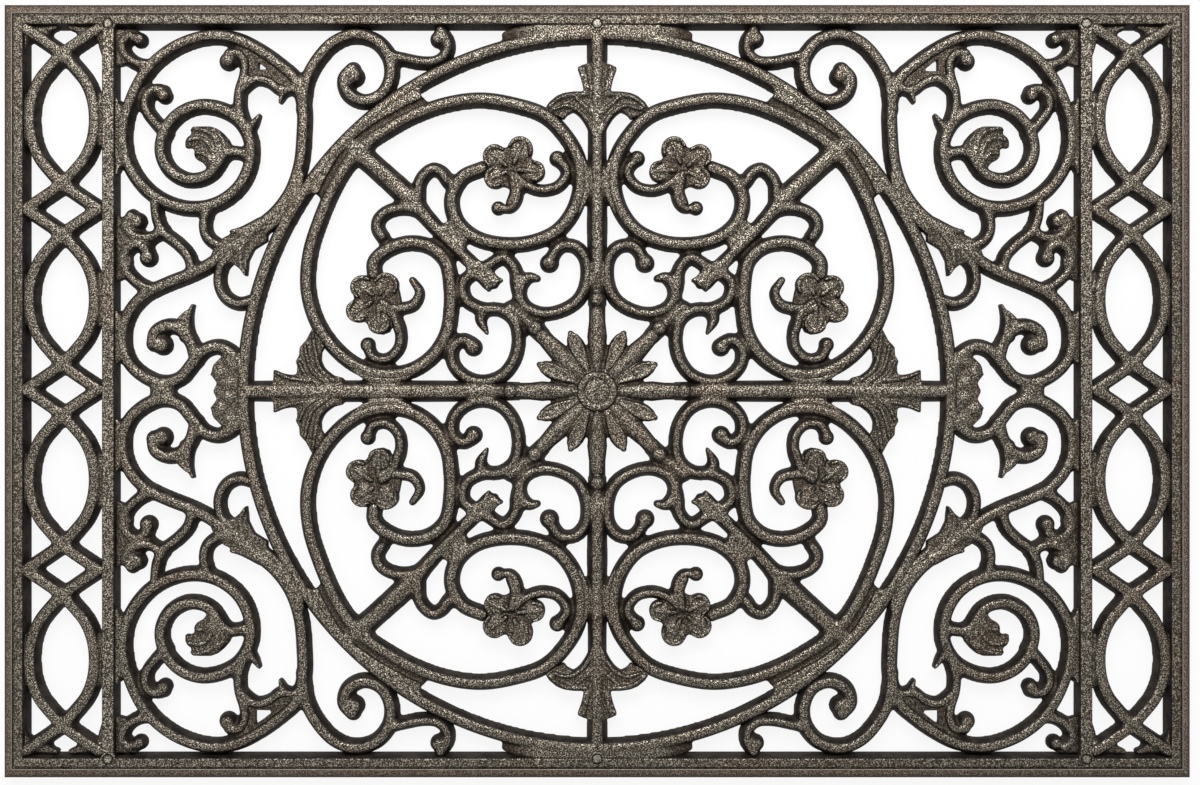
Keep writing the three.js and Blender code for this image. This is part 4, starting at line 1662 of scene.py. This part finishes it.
@dataclass(frozen=True)
class CrossArm:
    """An arm of the cross: its stem and boss, and the leaves that are mirrored on its far side.

    The stem is given by distances along the axis and its widths there.
    """

    axis: Point
    other_side: Quarter
    stem: tuple[Point, ...]
    bluntness: float
    boss: Knob
    folds: tuple[Rib, ...]
    plates: tuple[Plate, ...]
    crowns: tuple[float, ...] = (12, 12, 12, 10.3, 10.2, 10.3, 12, 12, 12, 12, 12, 12, 12)

    def drawing(self) -> Drawing:
        """Draws the stem, the boss and both sides' leaves.

        Returns:
            The drawing, in its place on the mat.
        """
        x, y = self.axis
        distances, widths = zip(*self.stem)
        line = tuple((x * distance, y * distance) for distance in distances)
        stem = Rib(line, widths, self.crowns, bluntness=self.bluntness, ends=False)
        side = Drawing(self.folds, (), self.plates).seated()
        return Drawing((stem,), (self.boss,)) + side + side.turned(self.other_side)


@dataclass
class Medallion:
    """The ring, the cross arms and the centre rosette.

    A ray of the rosette is given by distances from its hub, with the widths and crowns
    there, and a petal's edge by distances along the petal and off its middle.
    """

    ring_x: float = 212.2
    ring_y: float = 214.0
    ring_width: float = 9.3
    ring_points: int = 48
    rail_inner: float = 220.6
    web_half: float = 38.0
    web_overlap: float = 1.0
    web_top: float = 11.6
    web_steps: int = 10
    web_taper: Rib = seam(
        (6, 7, 7, 4.5), (33, 217.8), (41, 217.0), (49, 215.6), (55, 214.0),
        crown=(11.4, 10.6, 9.4, 8.6),
    )
    upright: CrossArm = CrossArm(
        axis=(0, 1),
        other_side=Quarter.UPPER_LEFT,
        stem=(
            (8, 1.0), (26, 5.8), (42, 7.2), (49, 8.0), (55, 8.8), (61, 8.8), (70, 9.2),
            (100, 9.8), (130, 9.2), (150, 8.6), (170, 9.0), (190, 9.4), (217, 10.2),
        ),
        bluntness=2.6,
        boss=boss((0, 55), 5.2),
        folds=(
            fold((4, 3.6, 3.2, 2), (7, 180), (16.4, 179.8), (23.4, 177.2), (28.6, 172.7)),
            fold((2.4, 4.6, 6.5), (13.4, 178.4), (7.8, 173.6), (2, 168.5)),
            fold((2, 3, 3.6, 4, 4), (26, 171), (18, 173.2), (10.4, 169.8), (5, 163), (2, 156)),
            seam((1, 3, 4, 3, 1), (11, 109), (7.6, 117), (5.9, 127), (7.2, 137), (11.5, 147)),
            seam((1, 3, 3.6, 3, 1), (11.5, 56), (7, 62), (5.2, 69), (5.8, 77), (9.5, 85)),
            fold((1.8, 2.2, 1.6), (5.2, 183), (6.4, 189), (8.2, 197), crown=11.8),
            fold((1.6, 1.8, 1.2), (7.2, 183), (8.6, 190), (11, 195.8), crown=11.8),
        ),
        plates=(
            plate(
                9.8, (0, 158), (4.5, 158), (5.8, 163), (9.6, 168.2), (14.2, 170.2), (18, 168.2),
                (20, 165.5), (25, 167.5), (31.5, 171.5), (29, 175.6), (24.6, 179.4),
                (20.5, 181.2), (16.4, 181.9), (9, 180.8), (0, 181),
            ),
            plate(
                9.8, (0, 180), (8.2, 181), (8.0, 184), (9.2, 190), (12, 196.6), (6.8, 199),
                (0, 199),
            ),
        ),
    )
    level: CrossArm = CrossArm(
        axis=(1, 0),
        other_side=Quarter.LOWER_RIGHT,
        stem=(
            (8, 1.0), (26, 5.8), (39, 7.6), (46, 8.2), (52, 9.0), (58, 9.4), (70, 9.8),
            (100, 10.4), (140, 10.6), (160, 10.6), (180, 10.6), (205, 10.0), (212, 10.0),
        ),
        bluntness=3.2,
        boss=boss((52, 0), 5.4),
        folds=(
            fold((3.6, 3.6, 3, 2), (158, 8), (166, 15), (168.8, 25), (170.4, 36)),
            fold((3.4, 3.2, 2.6, 1.6), (162, 6.5), (170.4, 13), (173.8, 22), (175, 29)),
            fold((3.2, 3, 1.6), (167, 5.5), (174.6, 11), (178.4, 19)),
            fold((3, 2.8, 1.4), (172, 7.5), (184, 9.4), (193, 12.8)),
            seam((1, 3, 4.6, 3, 1), (108, 13.5), (116, 9.6), (129, 7.8), (140, 10.6), (148, 16)),
            seam((1, 3, 4, 3, 1), (54, 13), (61, 8.4), (69, 6.4), (77, 8.4), (84, 13.5)),
        ),
        plates=(
            plate(
                9.9, (152, 0), (153, 9.6), (159.2, 11.2), (163.6, 14.6), (166, 19.8),
                (165.8, 24.8), (163.6, 28.5), (166.5, 34.5), (171, 39.5), (174.8, 32.2),
                (178.6, 28), (179, 23), (181, 19.5), (180, 16.2), (180.5, 11.6), (184, 11.4),
                (189, 12.2), (194.3, 14.6), (194.6, 8), (196, 0),
            ),
        ),
    )
    rays: int = 8
    petal_lean: float = 2.2
    arm_ray: tuple[Place, ...] = (
        (12.2, 4.0, 10.6), (14.5, 4.8, 11.9), (20, 7.2, 12.2), (27, 10.0, 12.2),
        (33, 11.0, 12.2), (40, 9.4, 12.1), (47, 7.8, 11.8),
    )
    petal_ray: tuple[Place, ...] = (
        (12.2, 4.0, 10.6), (14.5, 4.8, 11.4), (20, 7.2, 11.4), (27, 9.8, 11.4),
        (31.5, 9.2, 11.3), (35.5, 6.6, 11.3), (38.2, 3.0, 11.3),
    )
    petal_edge: Line = ((15, 1.0), (21, 2.2), (28, 3.2), (33.5, 2.7), (38.4, 0.5))
    petal_edge_widths: tuple[float, ...] = (1.0, 1.8, 2.2, 2.2, 1.6)
    rosette_floor: float = 9.0
    rosette_floor_radius: float = 26.0
    hub: tuple[Knob, ...] = (
        Knob((0, 0), 12.6, crown=12.0, drop=0.12, bluntness=6.0),
        Knob((0, 0), 6.8, crown=12.9, drop=0.14, bluntness=6.0),
    )
    hub_rim: float = 10.0
    hub_rim_width: float = 3.8
    hub_rim_crown: float = 12.9
    hub_rim_points: int = 16
    underside: float = 3.0
    arm_underside: float = 3.18
    rosette_underside: float = 3.24

    def build(self, foundry: Foundry) -> None:
        """Builds and dresses the ring, the arms and the rosette.

        Args:
            foundry: Casts the ribs and gives the pieces their finish.
        """
        ring = foundry.cast(
            "medallion_ring_cast", self.ring(), grid=1.0, passes=2, underside=self.underside
        )
        hand_over(ring, "iron", "medallion_ring")
        upright, level = (
            foundry.cast(name, arm.drawing(), grid=0.7, passes=2, underside=self.arm_underside)
            for name, arm in (("upright_arm", self.upright), ("level_arm", self.level))
        )
        for side, mesh, quarter in (
            ("upper", upright, Quarter.UPPER_RIGHT),
            ("lower", upright, Quarter.LOWER_RIGHT),
            ("right", level, Quarter.UPPER_RIGHT),
            ("left", level, Quarter.UPPER_LEFT),
        ):
            node = f"{side}_cross_arm"
            hand_over(mirrored(mesh, f"{node}_cast", quarter), "iron", node)
        rosette = foundry.cast(
            "centre_rosette_cast",
            self.rosette(),
            grid=0.6,
            passes=1,
            underside=self.rosette_underside,
        )
        hand_over(rosette, "iron", "centre_rosette")

    def ring(self) -> Drawing:
        """Draws the ring and its webs to the upper and lower rails.

        Returns:
            The drawing, in its place on the mat.
        """
        turns = [math.tau * i / self.ring_points for i in range(self.ring_points)]
        ring = Rib(
            tuple((self.ring_x * math.cos(t), self.ring_y * math.sin(t)) for t in turns),
            (self.ring_width,), flank=0.7, bluntness=3.4, closed=True,
        )
        steps = range(self.web_steps + 1)
        shares = [1 - 2 * i / self.web_steps for i in steps]
        arc = [
            (x, self.ring_y * math.sqrt(1 - (x / self.ring_x) ** 2))
            for x in (self.web_half * share for share in shares)
        ]
        top = self.rail_inner + self.web_overlap
        web = plate(self.web_top, (-self.web_half, top), (self.web_half, top), *arc)
        webs = Drawing(plates=(web,)) + Drawing(plates=(web,)).turned(Quarter.LOWER_RIGHT)
        taper = Drawing((self.web_taper,))
        return Drawing((ring,)) + webs + sum(map(taper.turned, Quarter), Drawing())

    def rosette(self) -> Drawing:
        """Draws the stepped hub, and the petals: the arms flare in between eight free ones.

        Returns:
            The drawing, in its place on the mat.
        """
        outline: list[Point] = []
        ribs = []
        for i in range(self.rays):
            spoke = math.tau * i / self.rays
            lean = math.radians(self.petal_lean if i % 2 == 0 else -self.petal_lean)
            free = spoke + math.tau / (2 * self.rays) + lean
            outline += [polar(self.rosette_floor_radius, angle) for angle in (spoke, free)]
            ribs += [self._ray(spoke, self.arm_ray), self._ray(free, self.petal_ray)]
            for side in (-1, 1):
                edge = tuple(
                    (
                        reach * math.cos(free) - side * off * math.sin(free),
                        reach * math.sin(free) + side * off * math.cos(free),
                    )
                    for reach, off in self.petal_edge
                )
                ribs.append(
                    Rib(edge, self.petal_edge_widths, flank=0.3, drop=0.9, bluntness=1.6)
                )
        turns = [math.tau * i / self.hub_rim_points for i in range(self.hub_rim_points)]
        rim = tuple(polar(self.hub_rim, turn) for turn in turns)
        ribs.append(
            Rib(rim, (self.hub_rim_width,), self.hub_rim_crown, flank=0.2, drop=0.5, closed=True)
        )
        return Drawing(tuple(ribs), self.hub, (Plate(tuple(outline), self.rosette_floor),))

    @staticmethod
    def _ray(angle: float, shape: Sequence[Place]) -> Rib:
        """A convex petal that runs straight out from the hub.

        Args:
            angle: Its direction.
            shape: The distances from the hub's middle, with the widths and crowns there.

        Returns:
            The petal's rib.
        """
        radii, widths, crowns = zip(*shape)
        line = tuple(polar(radius, angle) for radius in radii)
        return Rib(line, widths, crown=crowns, flank=0.5, drop=0.62, bluntness=2.1)


@dataclass
class CornerScroll:
    """The scroll in one corner of the field, with its bud, curls and leaf cluster."""

    spiral: Line = (
        (212, 95), (203, 101), (193, 109.5), (184, 122), (178.5, 138), (176.6, 156), (176.6, 174),
        (181, 189), (191.3, 198.7), (204, 207.6), (218, 214.2), (233, 215.6), (249, 211.3),
        (262.5, 203), (272, 192.7), (279, 179.5), (284, 163), (284, 147), (279.5, 134.5),
        (270, 122.5), (258, 115), (243, 111.8), (228, 115), (215.5, 124.5), (208.8, 138),
        (208.5, 153), (215, 165), (226, 171.7), (239, 173.6), (251, 169), (259.5, 159),
        (262, 146), (257, 135.2), (247, 129.3), (238, 129.8), (231.5, 133.4), (227.2, 139),
        (224.2, 143.6), (219.5, 145.8), (213, 145),
    )
    spiral_widths: tuple[float, ...] = (7.4, 7.4, 7.4, 7.4, 7.4, 7.4, 6.0)
    ribs: tuple[Rib, ...] = (
        branch(
            (177, 172), (174.5, 189), (168, 201.5), (158, 212), (146, 216.3), (133, 213),
            (125, 203), (124, 191), (129.5, 180.5), (140, 176.5), (149.5, 181), (152, 190),
            (147, 196),
        ),
        curl((125, 204), (116, 202), (105, 200), (96, 200.8), (90.3, 206), (90, 213), (94, 219)),
        curl((268, 198), (277, 199.5), (283.5, 204.5), (285, 211), (280.5, 216)),
        curl((259, 157), (266, 164.5), (271, 172), (270.6, 179.2), (266, 183.4), (261, 182.6)),
        curl(
            (211, 160), (215, 173), (214.5, 183), (211.8, 192), (211.3, 199), (214.8, 204.8),
            (221, 205),
        ),
        Rib(((181, 184), (190, 183), (197, 188), (205, 189.5), (213, 184)), (4.5, 5, 5)),
        curl((216, 88), (227, 89.5), (234, 94.5), (236, 102), (234, 111)),
        seam((1.5, 8, 1.5), (288.2, 132), (287.2, 155), (288.2, 178), crown=10.9, ends=False),
        seam((3, 7, 7, 1), (198, 98), (190, 108), (181, 121), (176, 132), crown=11.4),
        curl((220, 84), (226, 76), (227, 66), (223, 58), (215.5, 54.3), (206, 56.5)),
    )
    knobs: tuple[Knob, ...] = (
        Knob((146, 191.5), 6.4),
        Knob((95.5, 214), 5.2),
        Knob((275, 213.5), 4.8),
        Knob((260.4, 179.8), 5.0),
        Knob((222.0, 200.8), 5.8),
    )
    web: Line = (
        (181, 183), (192, 184.5), (203, 189), (213, 186), (213, 206), (208, 211), (196, 204),
        (185, 194),
    )
    corner_web: Plate = plate(
        9.8, (289, 219.5), (289, 197), (281, 199), (284.5, 205), (286, 211), (282, 217.5),
        (276, 219.5),
    )
    web_hole: Point = (201.8, 197.0)
    web_eyelet: Line = ((3.6, -3.4), (3.6, 6.4), (-8.0, -3.2))
    eyelet_scales: Mapping[Quarter, float] = field(
        default_factory=lambda: {
            Quarter.UPPER_RIGHT: 0.8,
            Quarter.UPPER_LEFT: 0.5,
            Quarter.LOWER_LEFT: 1.0,
            Quarter.LOWER_RIGHT: 0.95,
        }
    )
    cluster: Plate = plate(
        9.9, (199, 107.5), (206, 105), (213, 100.5), (219.8, 99), (220, 96), (224, 94.5),
        (231, 86), (234, 78), (226, 77), (219, 78.5), (215, 75.5), (210.3, 70.5), (209.5, 80),
        (206, 87), (198, 92),
    )
    cluster_folds: tuple[Rib, ...] = (
        fold(
            (6, 7, 6, 5, 5, 2), (196, 107), (203, 101.5), (210, 96.5), (216.5, 91.5), (224, 86),
            (232, 79.5),
        ),
        fold((6, 5.5, 4, 2), (202, 103.5), (209, 100), (214.5, 98.2), (219.4, 97.6)),
        fold(
            (5, 4.5, 4, 3.4, 3, 1.4), (205, 98.5), (210, 92.5), (212.6, 87), (214, 81),
            (213.6, 77), (210.8, 71.4),
        ),
        fold((4.5, 4.5, 4.5), (212, 94), (217.5, 88), (220, 82)),
    )
    thorns: tuple[Rib, ...] = (
        fold((8, 5, 1.5), (210, 159), (206, 163), (202.5, 168)),
        fold((7, 4.5, 1.5), (189, 184), (188.8, 180), (190.3, 175.5)),
    )
    bud: Plate = plate(
        9.7, (219.5, 149), (221.2, 153), (224.4, 156.8), (227.8, 159.7), (232, 161.2),
        (238.5, 161.2), (243, 160.9), (244.2, 158.8), (243.4, 156.3), (246.2, 154.6),
        (247.5, 151.7), (247.2, 148), (245, 148.4), (241.8, 147.6), (242, 143.8), (240.8, 141.2),
        (236.6, 139), (233.6, 135), (228, 134), (222, 142),
    )
    bud_folds: tuple[Rib, ...] = (
        fold(
            (4, 4, 3.4, 3, 2.6, 1.8), (227.5, 140), (227.6, 147), (228.8, 153), (232, 157),
            (237.4, 159), (242.4, 159.4),
        ),
        fold(
            (3.4, 3, 2.8, 2.6, 1.8), (229.5, 140), (231.5, 147), (234, 151.8), (239, 153.8),
            (245, 152.6),
        ),
        fold((3.4, 3, 2.6, 1.8), (231, 138.5), (233.8, 143), (237, 145), (240.8, 144.4)),
        fold((3, 2.6, 1.8), (223.6, 147), (224, 152), (227, 156)),
    )
    underside: float = 3.09
    web_underside: float = 3.3
    web_outer_top: float = 9.9
    web_inner_top: float = 9.4
    web_rays: int = 24
    eyelet_radius: float = 6.4

    def drawing(self) -> Drawing:
        """Draws the whole corner scroll.

        Returns:
            The drawing, before it is seated.
        """
        spiral = Rib(self.spiral, self.spiral_widths)
        return Drawing(
            (spiral, *self.ribs, *self.cluster_folds, *self.thorns, *self.bud_folds),
            self.knobs,
            (self.cluster, self.bud, self.corner_web),
        )

    def build(self, foundry: Foundry) -> None:
        """Builds and dresses the scroll and its web in all corners.

        Args:
            foundry: Casts the ribs and gives the pieces their finish.
        """
        scroll_mesh = foundry.cast(
            "corner_scroll", self.drawing().seated(), grid=0.95, passes=2, underside=self.underside
        )
        for quarter in Quarter:
            node = f"{quarter.label}_corner_scroll"
            hand_over(mirrored(scroll_mesh, f"{node}_cast", quarter), "iron", node)
            web = self._web(foundry, self.eyelet_scales[quarter])
            hand_over(mirrored(web, f"{quarter.label}_scroll_web", quarter), "iron")

    def _web(self, foundry: Foundry, scale: float) -> bpy.types.Mesh:
        """The thin web in the crook of the branch, pierced by its eyelet.

        Args:
            foundry: Gives the web its finish.
            scale: The eyelet's size, as a share of the largest one.

        Returns:
            The web in the upper right quarter.
        """
        shape = bmesh.new()
        eyelet = [Vector(corner) * scale for corner in self.web_eyelet]
        outline = Drawing(plates=(Plate((self.web_hole, *self.web), 0.0),)).seated().plates[0]
        hole, *edge = map(Vector, outline.outline)
        inner, outer = [], []
        for i in range(self.web_rays):
            ray = Vector(polar(1.0, math.tau * i / self.web_rays))
            across = min(_reach(Vector((0, 0)), ray, eyelet), self.eyelet_radius * scale)
            inner.append(hole + ray * across)
            outer.append(hole + ray * _reach(hole, ray, edge))
        loops = [
            [shape.verts.new((*(at * MM), height * MM)) for at in ring]
            for ring, height in (
                (inner, self.web_underside),
                (outer, self.web_underside),
                (outer, self.web_outer_top),
                (inner, self.web_inner_top),
            )
        ]
        for first, last in zip(loops, loops[1:] + loops[:1]):
            skin(shape, first, last)
        return solid_mesh(shape, "scroll_web", foundry.finish)


def _reach(start: Vector, ray: Vector, outline: Sequence[Vector]) -> float:
    """How far a ray runs from a point inside an outline to its edge.

    Args:
        start: The point.
        ray: The ray's direction, of length 1.
        outline: The outline's corners.

    Returns:
        The distance to the nearest edge on the way.
    """
    best = 1e9
    for a, b in zip(outline, [*outline[1:], outline[0]]):
        side = b - a
        turn = ray.cross(side)
        if abs(turn) < 1e-9:
            continue
        distance = (a - start).cross(side) / turn
        share = (a - start).cross(ray) / turn
        if distance > 0 and 0 <= share <= 1:
            best = min(best, distance)
    return best


@dataclass
class SideScroll:
    """The pair of scrolls between the ring and a divider bar."""

    ribs: tuple[Rib, ...] = (
        branch(
            (222, 87), (231, 79), (244, 72), (259, 66), (272, 59.3), (281.5, 48), (285, 33),
            (281.5, 19.5), (272, 10.5), (261, 6.5), (251, 9), (243, 18), (236, 26), (227, 28.3),
            (218, 23), (213, 14),
        ),
        branch((241, 20), (244, 31), (249.5, 38.5), (258, 40.8), (265.5, 37), (267, 30)),
        curl((265.5, 117), (264.3, 106), (261, 98), (252, 90.5), (245.5, 83), (243, 72)),
        curl((261, 99), (268, 94.2), (277, 95), (283, 101), (280, 107.5)),
        curl((266, 62), (276, 67), (283, 75), (284, 84), (277, 90.3), (270.5, 87)),
        fold((7, 6.5, 5.5, 1.5), (241, 22), (244.6, 34), (245.8, 44), (242.6, 53.5)),
        fold((6, 5.5, 2), (248, 34), (250.5, 42.5), (246.5, 49)),
        Rib(((261, 8), (261, 0)), (13, 13), drop=0.5, ends=False),
        seam((1.5, 6, 1.5), (288.4, 50), (287.6, 34), (288.4, 18), crown=10.9, ends=False),
    )
    knobs: tuple[Knob, ...] = (
        Knob((261.5, 29.3), 6.5),
        Knob((276.5, 104), 5.8),
        Knob((270, 82), 5.8),
        Knob((226.5, 12.5), 5.8, crown=11.9),
        Knob((220, 19), 5.6, crown=11.8),
        Knob((221, 5.5), 6.2, crown=11.9),
    )
    leaf: Plate = plate(
        10.0, (212, 26), (219, 24.5), (226, 22), (230.6, 17.5), (232.2, 11.5), (228.4, 6.4),
        (230.6, 1.5), (212, 0.5),
    )
    curl_web: Plate = plate(
        9.8, (289, 108), (289, 67), (280.5, 71), (279, 80), (281.5, 88), (278, 94), (284, 100),
        (284, 106),
    )
    underside: float = 3.15

    def drawing(self) -> Drawing:
        """The scrolls above the long axis."""
        return Drawing(self.ribs, self.knobs, (self.leaf, self.curl_web))

    def build(self, foundry: Foundry) -> None:
        """Builds and dresses both pairs.

        Args:
            foundry: Casts the ribs and gives the pieces their finish.
        """
        upper = self.drawing().seated()
        both = upper + upper.turned(Quarter.LOWER_RIGHT)
        right = foundry.cast(
            "right_side_scroll_cast", both, grid=1.0, passes=2, underside=self.underside
        )
        hand_over_pair(right, "side_scroll")


@dataclass
class Feet:
    """The rubber feet, and the rivets that hold them, with the lugs round the rivets."""

    columns: tuple[tuple[str, float], ...] = (
        ("left", -RIVET_X), ("middle", 0.0), ("right", RIVET_X),
    )
    rows: tuple[tuple[str, float], ...] = (("lower", -RIVET_Y), ("upper", RIVET_Y))
    foot_profile: Line = (
        (0, 0.6), (4.2, 0.6), (4.8, 0.05), (6.6, 0.0), (7.2, 0.25), (7.9, 2.6), (7.9, 2.98),
        (0, 2.98),
    )
    rivet_profile: Line = ((0, 8), (2.55, 8), (2.55, 12.55), (2.3, 12.85), (1.5, 12.98), (0, 13.0))
    lug_profile: Line = (
        (2.9, 3.0), (4.6, 3.0), (4.6, 11.9), (4.4, 12.35), (4.0, 12.6), (3.3, 12.6), (2.9, 12.3),
    )
    sides: int = 40

    def build(
        self, iron: bpy.types.Material, rubber: bpy.types.Material, steel: bpy.types.Material
    ) -> None:
        """Builds and dresses the feet, the rivets and the lugs.

        Args:
            iron: The lugs' finish.
            rubber: The feet's finish.
            steel: The rivets' finish.
        """
        tree = SetOnPointsTree()
        places = {
            f"{row}_{column}": (x * MM, y * MM, 0.0)
            for row, y in self.rows
            for column, x in self.columns
        }
        for name, profile, finish, slot, ending in (
            ("rubber_feet", self.foot_profile, rubber, "foot_rubber", "foot"),
            ("rivets", self.rivet_profile, steel, "rivet_steel", "rivet"),
            ("rivet_lugs", self.lug_profile, iron, "iron", None),
        ):
            piece = as_object(f"{name}_one", self._turned(profile))
            points = bpy.data.meshes.new(name)
            points.from_pydata(list(places.values()), [], [])
            holder = as_object(name, points)
            tree.set_on(holder, Piece=piece, Finish=finish)
            mesh = plain_mesh(holder, name)
            bpy.data.objects.remove(piece)
            mesh.materials.clear()
            mesh.materials.append(finish)
            nodes = [f"{place}_{ending}" for place in places] if ending else []
            hand_over(mesh, slot, *nodes)

    def _turned(self, profile: Line) -> bpy.types.Mesh:
        """Turns a profile round the upright axis.

        Args:
            profile: Its radii and heights. It runs from the axis to the axis, or else it
                stays clear of it and is closed into a ring.

        Returns:
            The turned mesh, in metres.
        """
        shape = bmesh.new()
        rows = []
        for radius, height in profile:
            turns = [math.tau * i / self.sides for i in range(self.sides if radius else 1)]
            rows.append(
                [
                    shape.verts.new(
                        (radius * MM * math.cos(t), radius * MM * math.sin(t), height * MM)
                    )
                    for t in turns
                ]
            )
        is_ring = profile[0][0] > 0
        for first, last in zip(rows, rows[1:] + rows[:1] if is_ring else rows[1:]):
            skin(shape, first, last)
        return solid_mesh(shape, "turned")


# Studio


@dataclass(frozen=True)
class Lamp:
    """A soft rectangular lamp that points at the mat, in metres and watts."""

    name: str
    place: Place
    size: Point
    power: float

    def hang(self) -> None:
        """Adds the lamp to the scene."""
        lamp = bpy.data.lights.new(self.name, "AREA")
        lamp.shape = "RECTANGLE"
        lamp.size, lamp.size_y = self.size
        lamp.energy = self.power
        obj = bpy.data.objects.new(self.name, lamp)
        obj.location = self.place
        obj.rotation_euler = (-Vector(self.place)).to_track_quat("-Z", "Y").to_euler()
        bpy.context.scene.collection.objects.link(obj)


@dataclass(frozen=True)
class Studio:
    """The floor, the soft lamps, the surrounding light and the camera."""

    floor_size: float = 12.0
    camera_height: float = 0.9095
    camera_offset: Point = (1.7, -0.8)
    lens: float = 45.0
    sensor: float = 36.0
    nearest: float = 0.01
    lamps: tuple[Lamp, ...] = (
        Lamp("key", (0.0, 0.95, 1.15), (1.6, 0.7), 26.0),
        Lamp("fill", (-0.9, -0.8, 1.3), (1.2, 0.8), 3.5),
    )
    sky: float = 0.42
    backdrop_rise: Range = (0.05, 0.35)

    def build(self, floor: bpy.types.Material) -> None:
        """Builds the studio.

        Args:
            floor: The floor's finish.
        """
        self._floor(floor)
        for lamp in self.lamps:
            lamp.hang()
        self._world()
        self._camera()
        bpy.context.scene.view_settings.view_transform = "Standard"

    def _floor(self, finish: bpy.types.Material) -> None:
        """Lays the floor.

        Args:
            finish: The floor's finish.
        """
        half = self.floor_size / 2
        corners = [(-half, -half, 0), (half, -half, 0), (half, half, 0), (-half, half, 0)]
        mesh = bpy.data.meshes.new("floor")
        mesh.from_pydata(corners, [], [(0, 1, 2, 3)])
        mesh.materials.append(finish)
        as_object("floor", mesh)

    def _world(self) -> None:
        """Surrounds the mat with plain light, white where it is looked at."""
        world = bpy.data.worlds.new("studio")
        world.use_nodes = True
        bpy.context.scene.world = world
        graph = Graph(world.node_tree)
        back = world.node_tree.nodes["Background"]
        camera, glossy, through = graph.rays()
        _, _, rise = graph.parts(graph.value("ShaderNodeTexCoord", output="Generated"))
        backdrop = 1.0 - graph.ramp(rise, *self.backdrop_rise)
        shown = (camera + (glossy + through) * backdrop).limited(0.0, 1.0)
        graph.feed(back.inputs["Strength"], self.sky + (1.0 - self.sky) * shown)
        back.inputs["Color"].default_value = WHITE

    def _camera(self) -> None:
        """Sets the camera straight above the mat."""
        data = bpy.data.cameras.new("camera")
        data.lens = self.lens
        data.sensor_width = self.sensor
        data.clip_start = self.nearest
        obj = bpy.data.objects.new("camera", data)
        x, y = self.camera_offset
        obj.location = (x * MM, y * MM, self.camera_height)
        bpy.context.scene.collection.objects.link(obj)
        bpy.context.scene.camera = obj


def main() -> None:
    """Builds the mat and the studio."""
    logging.basicConfig(level=logging.INFO, format="%(name)s: %(message)s")
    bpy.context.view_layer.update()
    foundry = Foundry(IronFinish().material())
    Surround().build(foundry)
    BorderLattice().build(foundry)
    Medallion().build(foundry)
    Tracery().build(foundry)
    CornerScroll().build(foundry)
    SideScroll().build(foundry)
    Feet().build(foundry.finish, RubberFinish().material(), RivetFinish().material())
    Studio().build(FloorFinish().material())
    for mesh in [mesh for mesh in bpy.data.meshes if mesh.users == 0]:
        bpy.data.meshes.remove(mesh)


if __name__ == "__main__":
    main()
